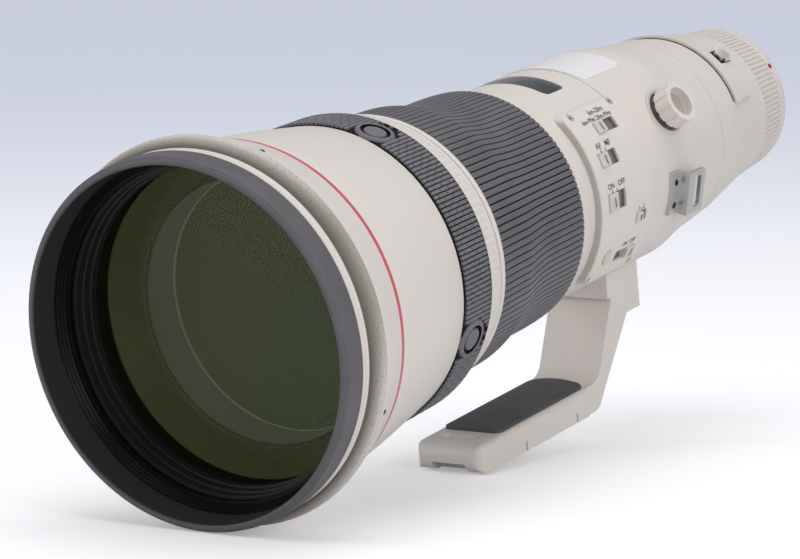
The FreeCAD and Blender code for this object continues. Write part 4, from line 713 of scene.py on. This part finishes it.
# %% Playback ring, trim rings, taper and ribbed ring
PLAYBACK_RIBS = 110
MOUNT_RIBS = 94
fluted("playback_band", [(62.9, 117.35, False), (63.3, 117.8, False), (63.2, 119.0, False),
                         (63.15, 119.2, True), (62.4, 128.8, True), (62.35, 129.0, False),
                         (62.2, 131.2, False), (61.4, 131.75, False)],
       [(59.6, 131.75), (59.6, 117.35)],
       [(0, 0.3), (0.36, 0.3), (0.48, 0.0), (0.88, 0.0), (1, 0.3)],
       PLAYBACK_RIBS, warm_white, "playback", ["playback_ring"])
turned("front_trim_ring", [
    (59.6, 132.45), (61.8, 132.45, 0.3), (62.15, 133.0, 0.3), (62.05, 135.3, 0.5), (60.4, 135.95),
    (59.6, 135.95),
], warm_white, "barrel", ["front_trim"])
turned("rear_trim_ring", [
    (46.7, 215.45), (50.4, 215.45), (51.15, 215.9, 0.3), (51.15, 218.3, 0.3), (50.7, 218.7),
    (50.3, 218.75), (50.3, 218.95), (46.7, 218.95),
], warm_white, "barrel", ["rear_trim"])
turned("taper_shell", [
    (43.1, 323.05), (49.4, 323.05, 0.3), (49.85, 323.6, 0.5), (48.75, 332, 4), (47.25, 343, 5),
    (46.2, 353, 5), (45.62, 359.75, 0.1), (45.5, 359.95), (41.0, 359.95), (41.0, 345.1),
    (43.1, 345.05),
], warm_white, "barrel", ["taper_barrel"])
fluted("ribbed_grip", [(37.2, 416.05, False), (37.38, 416.3, False), (37.15, 418.8, False),
                       (37.1, 419.0, True), (36.3, 427, True), (35.65, 436.8, True),
                       (35.6, 437.0, False), (35.4, 441.5, False), (35.2, 442.6, False),
                       (34.6, 443.3, False), (33.5, 443.45, False)],
       [(33.45, 416.05)],
       [(0, 0.7), (0.26, 0.7), (0.36, 0.0), (0.9, 0.0), (1, 0.7)],
       MOUNT_RIBS, warm_white, "barrel", ["ribbed_ring"])

# %% [markdown]
# The rubber band that holds the stop buttons is like a brick wall: rows of small raised bricks,
# with every second row moved by half a brick. Around each button the bricks give way to a smooth
# round boss.

# %% Rubber band with its bricks
STOP_ANGLES = [21, 111, 201, 291]
STOP_STATION = 104.2
BAND_FRONT, BAND_REAR = 95.95, 116.75
BAND_FLOOR = 66.3
BRICK_COLUMNS = 200
BRICK_ROWS = (
    [(99.2, 6.0), (105.5, 5.6), (111.7, 5.6), (115.4, 1.0)],
    [(97.6, 2.8), (102.4, 5.6), (108.6, 5.6), (113.9, 4.0)],
)
BRICK_WIDTH = 1.55
BRICK_FOOT = 65.6
BRICK_TOP, BRICK_TOP_START = 67.3, 95.9
BRICK_TOP_SLOPE = 0.5 / 20.9
BRICK_ROUNDING = 0.18
BAND_MIDDLE_RADIUS = 67
BOSS_REACH = 8.8


def brick_top(station):
    """Radius of the bricks' tops, which falls a little towards the rear."""
    return BRICK_TOP - (station - BRICK_TOP_START) * BRICK_TOP_SLOPE


def near_boss(angle, station, length):
    """True where a brick would run into a boss."""
    for boss_angle in STOP_ANGLES:
        turn = (angle - boss_angle + 180) % 360 - 180
        across = abs(math.radians(turn) * BAND_MIDDLE_RADIUS)
        along_axis = max(abs(station - STOP_STATION) - length / 2, 0)
        if math.hypot(across, along_axis) < BOSS_REACH:
            return True
    return False


bm = bmesh.new()
lathe(bm, outline_loop(bm, [(64.5, BAND_FRONT), (BAND_FLOOR, BAND_FRONT, 0.2),
                            (BAND_FLOOR - 0.4, 116.2), (66.6, 116.3, 0.1),
                            (66.5, BAND_REAR, 0.2), (64.5, BAND_REAR)]))
# The band's floor between the bricks gets the groove finish: painted shade between them.
for face in bm.faces:
    face.material_index = 1
for column in range(BRICK_COLUMNS):
    angle = column * 360 / BRICK_COLUMNS
    for station, length in BRICK_ROWS[column % 2]:
        if near_boss(angle, station, length):
            continue
        height = brick_top(station) - BRICK_FOOT
        size = Matrix.Diagonal((BRICK_WIDTH * MM, length * MM, height * MM, 1))
        stand = onto_lens(angle, station, BRICK_FOOT + height / 2)
        brick = bmesh.ops.create_cube(bm, size=1, matrix=stand @ size)
        top = outward(angle)
        crest = [edge for edge in {e for v in brick["verts"] for e in v.link_edges}
                 if all(v.co.dot(top) > BAND_FLOOR * MM for v in edge.verts)]
        rounded(bm, crest, BRICK_ROUNDING, 1)

# %% [markdown]
# A boss is a low turned rim round its button. It is turned round its own axis, stood on the band
# and joined to it. Faces inside the rim get the groove finish, painted shade in the well round
# the button.

# %% Bosses round the stop buttons
BOSS_BASE = 66
BOSS_PROFILE = [(8.7, 65.0), (8.7, 66.2), (8.3, 66.9), (7.8, 67.3), (7.2, 67.45), (6.8, 67.4),
                (6.5, 67.15), (6.5, 65.4), (5.3, 65.35), (5.3, 65.0)]
WELL_RADIUS, WELL_TOP = 6.55, 1.25
SMALL_STEPS = 40
for angle in STOP_ANGLES:
    boss = bmesh.new()
    verts = [boss.verts.new((radius * MM, 0, (height - BOSS_BASE) * MM))
             for radius, height in BOSS_PROFILE]
    lathe(boss, verts + chain(boss, verts, closed=True), (0, 0, 1), SMALL_STEPS)
    stand = onto_lens(angle, STOP_STATION, BOSS_BASE)
    boss.transform(stand)
    for face in boss.faces:
        middle = stand.inverted() @ face.calc_center_median()
        in_well = math.hypot(middle.x, middle.y) < WELL_RADIUS * MM and middle.z < WELL_TOP * MM
        face.material_index = 1 if in_well else 0
    part = bpy.data.meshes.new("boss_part")
    boss.to_mesh(part)
    boss.free()
    bm.from_mesh(part)
    bpy.data.meshes.remove(part)
keep(bm, "button_band", grip_rubber, "barrel", groove=groove_black,
     replaced=["stop_band"])

# %% [markdown]
# Small round parts that stand on the barrel, such as the stop buttons, are turned the same way
# but round their own axis, and then put in place with one matrix.

# %% Stop buttons
def small_turned(name, profile, matrix, finish, body, steps=SMALL_STEPS, replaced=()):
    """Spin (radius, height) points in millimetres round their own Z and place them."""
    bm = bmesh.new()
    verts = [bm.verts.new((radius * MM, 0, height * MM)) for radius, height in profile]
    lathe(bm, verts + chain(bm, verts), (0, 0, 1), steps)
    bm.transform(matrix)
    keep(bm, name, finish, body, replaced=replaced)


CAP_PROFILE = [(0, -4.0), (4.9, -4.0), (4.9, 0.75), (4.7, 1.05), (3.8, 1.28), (2.6, 1.46),
               (1.3, 1.56), (0, 1.6)]
for number, angle in enumerate(STOP_ANGLES, 1):
    small_turned(f"stop_cap_{number}", CAP_PROFILE, onto_lens(angle, STOP_STATION, BOSS_BASE),
                 grip_rubber, f"stop_button_{number}_body",
                 replaced=[f"stop_button_{number}"])

# %% [markdown]
# Small dark dots on the bell mark the button directions, and a red dot on the rear ring shows
# where the lens meets the camera's own mark. Two thin rings of painted shade darken the gaps
# behind the playback ring and in front of the collar ring.

# %% Dots and gap lines
DOT_STATION = 15.4
for number, angle in enumerate(STOP_ANGLES, 1):
    small_turned(f"bell_dot_{number}", [(1.25, -0.9), (1.25, 0.12), (1.1, 0.22), (0, 0.22)],
                 onto_lens(angle, DOT_STATION, 80.45), print_black, "barrel", 16)
small_turned("mount_dot", [(1.3, -0.8), (1.3, 0.25), (1.0, 0.4), (0, 0.45)],
             onto_lens(58.5, 438.6, 35.4), red_paint, "barrel", 24)
turned("trim_gap", [(59.7, 131.82), (61.3, 131.82), (61.3, 132.38), (59.7, 132.38)],
       groove_black, "barrel")
turned("collar_gap", [(50.3, 277.08), (50.72, 277.08), (50.72, 277.22), (50.3, 277.22)],
       groove_black, "barrel")

# %% [markdown]
# The switches carry a black index line between two ridges, which the thumb feels. Each small bar
# is a bevelled cube put in place by a matrix and it rides on the switch's own body.

# %% Index lines and ridges on the switches
def body_of(node):
    """The body that a CAD node belongs to."""
    return nodes[node].parent.name.split(":", 1)[1]


def bars(name, places, size, finish, body, rounding=0.12):
    """Bevelled bars of (width, length, height) millimetres at the given matrices."""
    bm = bmesh.new()
    scale = Matrix.Diagonal((*(side * MM for side in size), 1))
    for place in places:
        cube = bmesh.ops.create_cube(bm, size=1, matrix=place @ scale)
        edges = list({edge for vert in cube["verts"] for edge in vert.link_edges})
        rounded(bm, edges, rounding, 2)
    keep(bm, name, finish, body)


RIDGE_RADIUS, INDEX_RADIUS = 55.55, 55.5
for name in ("focus_limit_switch", "focus_mode_switch", "stabiliser_switch",
             "stabiliser_mode_switch", "focus_range_switch"):
    low_corner, high_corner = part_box(name)
    middle = (low_corner + high_corner) / 2
    angle = math.degrees(math.atan2(middle.x, middle.z))
    station = middle.y / MM + FLANGE_STATION
    wide, gap = (2.6, 1.2) if name == "stabiliser_mode_switch" else (4.2, 1.7)
    ridges = [onto_lens(angle, station + shift, RIDGE_RADIUS) for shift in (-gap, gap)]
    bars(f"{name}_ridges", ridges, (wide, 0.55, 0.7), switch_cream, body_of(name))
    bars(f"{name}_index", [onto_lens(angle, station, INDEX_RADIUS)], (wide, 0.6, 0.5),
         print_black, body_of(name), 0.05)

# %% [markdown]
# Next to each switch a few letters and numbers are printed. They are flat text made into a mesh
# and then wrapped round the panel, so that they follow its curve. Short strokes lead from the
# words to the switches.

# %% Printed marks on the switch panel
PANEL_RADIUS = 54.26
STROKE_RADIUS = 54.2
STROKE_PLACES = [(65.1, 242.6), (65.1, 246.6), (84.6, 241.6), (84.6, 245.6), (99.2, 266.5)]


def printed(name, words, height, angle, station):
    """Print words that read along the lens with their tops towards the top of the lens."""
    curve = bpy.data.curves.new(name + "_text", "FONT")
    curve.body = words
    curve.size = height * MM
    curve.align_x = "CENTER"
    curve.align_y = "CENTER"
    curve.resolution_u = 2
    curve.offset = 0.05 * MM
    letters = bpy.data.objects.new(name + "_text", curve)
    bpy.context.scene.collection.objects.link(letters)
    mesh = bpy.data.meshes.new_from_object(
        letters.evaluated_get(bpy.context.evaluated_depsgraph_get()))
    bpy.data.objects.remove(letters)
    bm = bmesh.new()
    bm.from_mesh(mesh)
    bpy.data.meshes.remove(mesh)
    for vert in bm.verts:
        turn = angle - math.degrees(vert.co.y / (PANEL_RADIUS * MM))
        vert.co = outward(turn) * PANEL_RADIUS * MM + Vector((0, at(station) + vert.co.x, 0))
    keep(bm, name, print_black, "barrel")


printed("limit_numbers_high", "6m-20m", 3.7, 46.0, 257)
printed("limit_numbers_low", "6m-99m 20m-99m", 3.3, 49.7, 254)
printed("mode_letters", "AF   MF", 3.9, 62.4, 246.5)
printed("switch_words", "ON   OFF", 3.6, 82.0, 246)
printed("mode_numbers", "1   2", 3.2, 98.3, 266.5)
printed("range_words", "ON  OFF", 3.0, 114.4, 260)
strokes = [onto_lens(angle, station, STROKE_RADIUS) for angle, station in STROKE_PLACES]
bars("switch_strokes", strokes, (1.8, 0.45, 0.2), print_black, "barrel", 0.03)

# %% [markdown]
# The rubber pad on the foot is arched across, so that it sits well in a hand. It begins as a
# block with rounded corners, is cut into strips by planes, and its top is then lifted most along
# the middle.

# %% Foot pad
PAD_HALF = 14.6 * MM
PAD_HEIGHT = 1.4 * MM
PAD_CROWN = 2.0 * MM
PAD_STRIPS = 12
low_corner, high_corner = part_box("foot_pad")
middle = (low_corner + high_corner) / 2
base = low_corner.z
block = Matrix.Diagonal((2 * PAD_HALF, high_corner.y - low_corner.y, PAD_HEIGHT, 1))
bm = bmesh.new()
bmesh.ops.create_cube(
    bm, size=1, matrix=Matrix.Translation((0, middle.y, base + PAD_HEIGHT / 2)) @ block)
corners = [edge for edge in bm.edges if abs(edge.verts[0].co.z - edge.verts[1].co.z) > 1 * MM]
rounded(bm, corners, 3.6, 6)
rim = [edge for edge in bm.edges if all(vert.co.z > base + 1.3 * MM for vert in edge.verts)]
rounded(bm, rim, 0.7, 3)
for cut in range(1, PAD_STRIPS):
    bmesh.ops.bisect_plane(bm, geom=bm.verts[:] + bm.edges[:] + bm.faces[:],
                           plane_co=((2 * cut / PAD_STRIPS - 1) * PAD_HALF, 0, 0),
                           plane_no=(1, 0, 0))
for vert in bm.verts:
    if vert.co.z > base + 0.5 * MM:
        vert.co.z += PAD_CROWN * (1 - (vert.co.x / PAD_HALF) ** 2)
keep(bm, "crowned_pad", pad_rubber, body_of("foot_pad"), sharp=40,
     replaced=["foot_pad"])

# %% [markdown]
# On each side of the filter holder sits a small round release button with four silver ribs
# across it. Its height comes from the CAD button that it stands for.

# %% Filter release buttons
DISC_PROFILE = [(0, -1.5), (4.0, -1.5), (4.0, 0.4), (3.6, 0.9), (0, 1.1)]
RIB_PLACES = [(-3, 5), (-1, 8), (1, 8), (3, 5)]
for side, angle in (("right", 40), ("left", -40)):
    node = f"filter_lock_{side}"
    low_corner, high_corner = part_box(node)
    station = (low_corner.y + high_corner.y) / 2 / MM + FLANGE_STATION
    top = max(vert.co.dot(outward(angle)) for vert in nodes[node].data.vertices) / MM
    small_turned(f"release_disc_{side}", DISC_PROFILE, onto_lens(angle, station, top), dark_steel,
                 body_of(node), replaced=[node])
    for number, (shift, wide) in enumerate(RIB_PLACES, 1):
        bars(f"release_{side}_rib_{number}", [onto_lens(angle, station + shift, top + 0.8)],
             (wide, 1.25, 2.4), bright_silver, body_of(node), 0.3)

# %% [markdown]
# A dark line of painted shadow shows the gap in front of the raised filter holder, where its
# front edge casts a shadow. Its outline is swept through 142 degrees only, because the holder
# ends at both sides.

# %% Gap line of the filter holder
GAP_FIRST_ANGLE = -161
GAP_SWEEP = 142
bm = bmesh.new()
loop = outline_loop(bm, [(42.3, 381.62), (43.25, 381.58), (43.2, 381.95), (42.3, 381.98)])
bmesh.ops.rotate(bm, verts=bm.verts, cent=(0, 0, 0),
                 matrix=Matrix.Rotation(math.radians(GAP_FIRST_ANGLE), 3, "Y"))
bmesh.ops.spin(bm, geom=loop, cent=(0, 0, 0), axis=(0, 1, 0), steps=70,
               angle=math.radians(GAP_SWEEP))
keep(bm, "holder_gap", groove_black, "barrel")

# %% [markdown]
# The lens rests on the rim of its front ring and on the foot, so the table is a plane through
# those two contact lines, a little tilted in the lens's own frame. The table and the backdrop are
# one big sheet. It is near white close to the lens and turns blue-grey further back, as a
# studio sweep does when the rear lamp is dimmer. Its glow is seen by the camera only, so it adds
# no light to the lens.

# %% Table
TABLE_RISE, TABLE_RUN = 0.1638, 0.9865
TABLE_TILT = math.atan2(TABLE_RISE, TABLE_RUN)
TABLE_POINT = (0, -0.273, -0.108)
TABLE_HALF = 6
SHEET_WHITE, SHEET_BLUE = (0.84, 0.84, 0.85), (0.47, 0.50, 0.58)
GLOW_FRONT, GLOW_MIDDLE = (0.30, 0.30, 0.30), (0.33, 0.33, 0.37)
GLOW_FAR = (0.40, 0.42, 0.49)
AWAY_Y, AWAY_X = 0.46, -0.84
table = Finish("table_sweep", (0.8, 0.8, 0.8), 0.55)
reach = table.axis(1) * AWAY_Y + table.axis(0) * AWAY_X
past_lens = ((reach + 0.15) * 1.1).clamp()
far_back = ((reach - 0.6) * 0.55).clamp()
table.set("Base Color", table.mix(far_back, SHEET_WHITE, SHEET_BLUE))
table.set("Roughness", 0.55 + table.noise(30, 2) * 0.1)
glow = table.mix(far_back, table.mix(past_lens, GLOW_FRONT, GLOW_MIDDLE), GLOW_FAR)
seen = table.node("ShaderNodeLightPath", output="Is Camera Ray")
table.set("Emission Color", table.mix(seen, (0, 0, 0), glow))
table.set("Emission Strength", 1.0)
bm = bmesh.new()
bmesh.ops.create_grid(bm, x_segments=1, y_segments=1, size=TABLE_HALF)
bm.transform(Matrix.Translation(TABLE_POINT) @ Matrix.Rotation(-TABLE_TILT, 4, "X"))
mesh = bpy.data.meshes.new("table_top")
bm.to_mesh(mesh)
bm.free()
mesh.materials.append(table.material)
table_top = bpy.data.objects.new("table_top", mesh)
bpy.context.scene.collection.objects.link(table_top)
print("table tilt:", round(math.degrees(TABLE_TILT), 2), "degrees")

# %% [markdown]
# Product photographs use big soft lamps. A wide one overhead draws the bright band along the top
# of the barrel, one from the camera's right fills the switch side, and one from the left gives
# the black ring its grey sheen. A small low one brightens the front of the foot.

# %% Lamps
LENS_MIDDLE = (0, -0.25, 0)
FOOT_FRONT = (0, -0.25, -0.1)


def softbox(name, place, target, width, height, power):
    """A rectangular lamp that faces a target; sizes are in metres and power in watts."""
    lamp = bpy.data.lights.new(name, "AREA")
    lamp.shape = "RECTANGLE"
    lamp.size = width
    lamp.size_y = height
    lamp.energy = power
    light = bpy.data.objects.new(name, lamp)
    light.location = place
    light.rotation_euler = (Vector(target) - Vector(place)).to_track_quat("-Z", "Y").to_euler()
    bpy.context.scene.collection.objects.link(light)


softbox("top_box", (0.1, -0.1, 1.5), LENS_MIDDLE, 1.6, 1.8, 15.5)
softbox("right_box", (1.7, -0.7, 0.7), LENS_MIDDLE, 1.2, 1.0, 13)
softbox("left_box", (-1.5, -1.3, 0.9), LENS_MIDDLE, 1.0, 1.0, 10)
softbox("low_box", (0.9, -1.2, 0.0), FOOT_FRONT, 0.5, 0.3, 1.6)
print("lamps:", len(bpy.data.lights))

# %% [markdown]
# A pale, slightly blue world fills the shadows evenly.

# %% World
WORLD_TINT = (0.9, 0.93, 1.0, 1)
WORLD_STRENGTH = 0.36
world = bpy.data.worlds.new("soft_room")
world.use_nodes = True
background = world.node_tree.nodes["Background"]
background.inputs["Color"].default_value = WORLD_TINT
background.inputs["Strength"].default_value = WORLD_STRENGTH
bpy.context.scene.world = world

# %% [markdown]
# The camera was found from the photograph: a long lens about two metres away, in front, to the
# right and a little above. The first three columns of its matrix are the picture's right, up and
# backward directions, and the fourth is its place.

# %% Camera
CAMERA_LENS = 189
CAMERA_SENSOR = 36
camera_data = bpy.data.cameras.new("camera")
camera_data.lens = CAMERA_LENS
camera_data.sensor_width = CAMERA_SENSOR
camera_data.clip_end = 50
camera = bpy.data.objects.new("camera", camera_data)
camera.matrix_world = Matrix((
    (0.84194, -0.05741, 0.53651, 0.966),
    (0.5323, 0.25111, -0.80846, -1.752),
    (-0.08831, 0.96626, 0.24198, 0.422),
    (0, 0, 0, 1),
))
bpy.context.scene.collection.objects.link(camera)
bpy.context.scene.camera = camera
bpy.context.scene.view_settings.view_transform = "Standard"
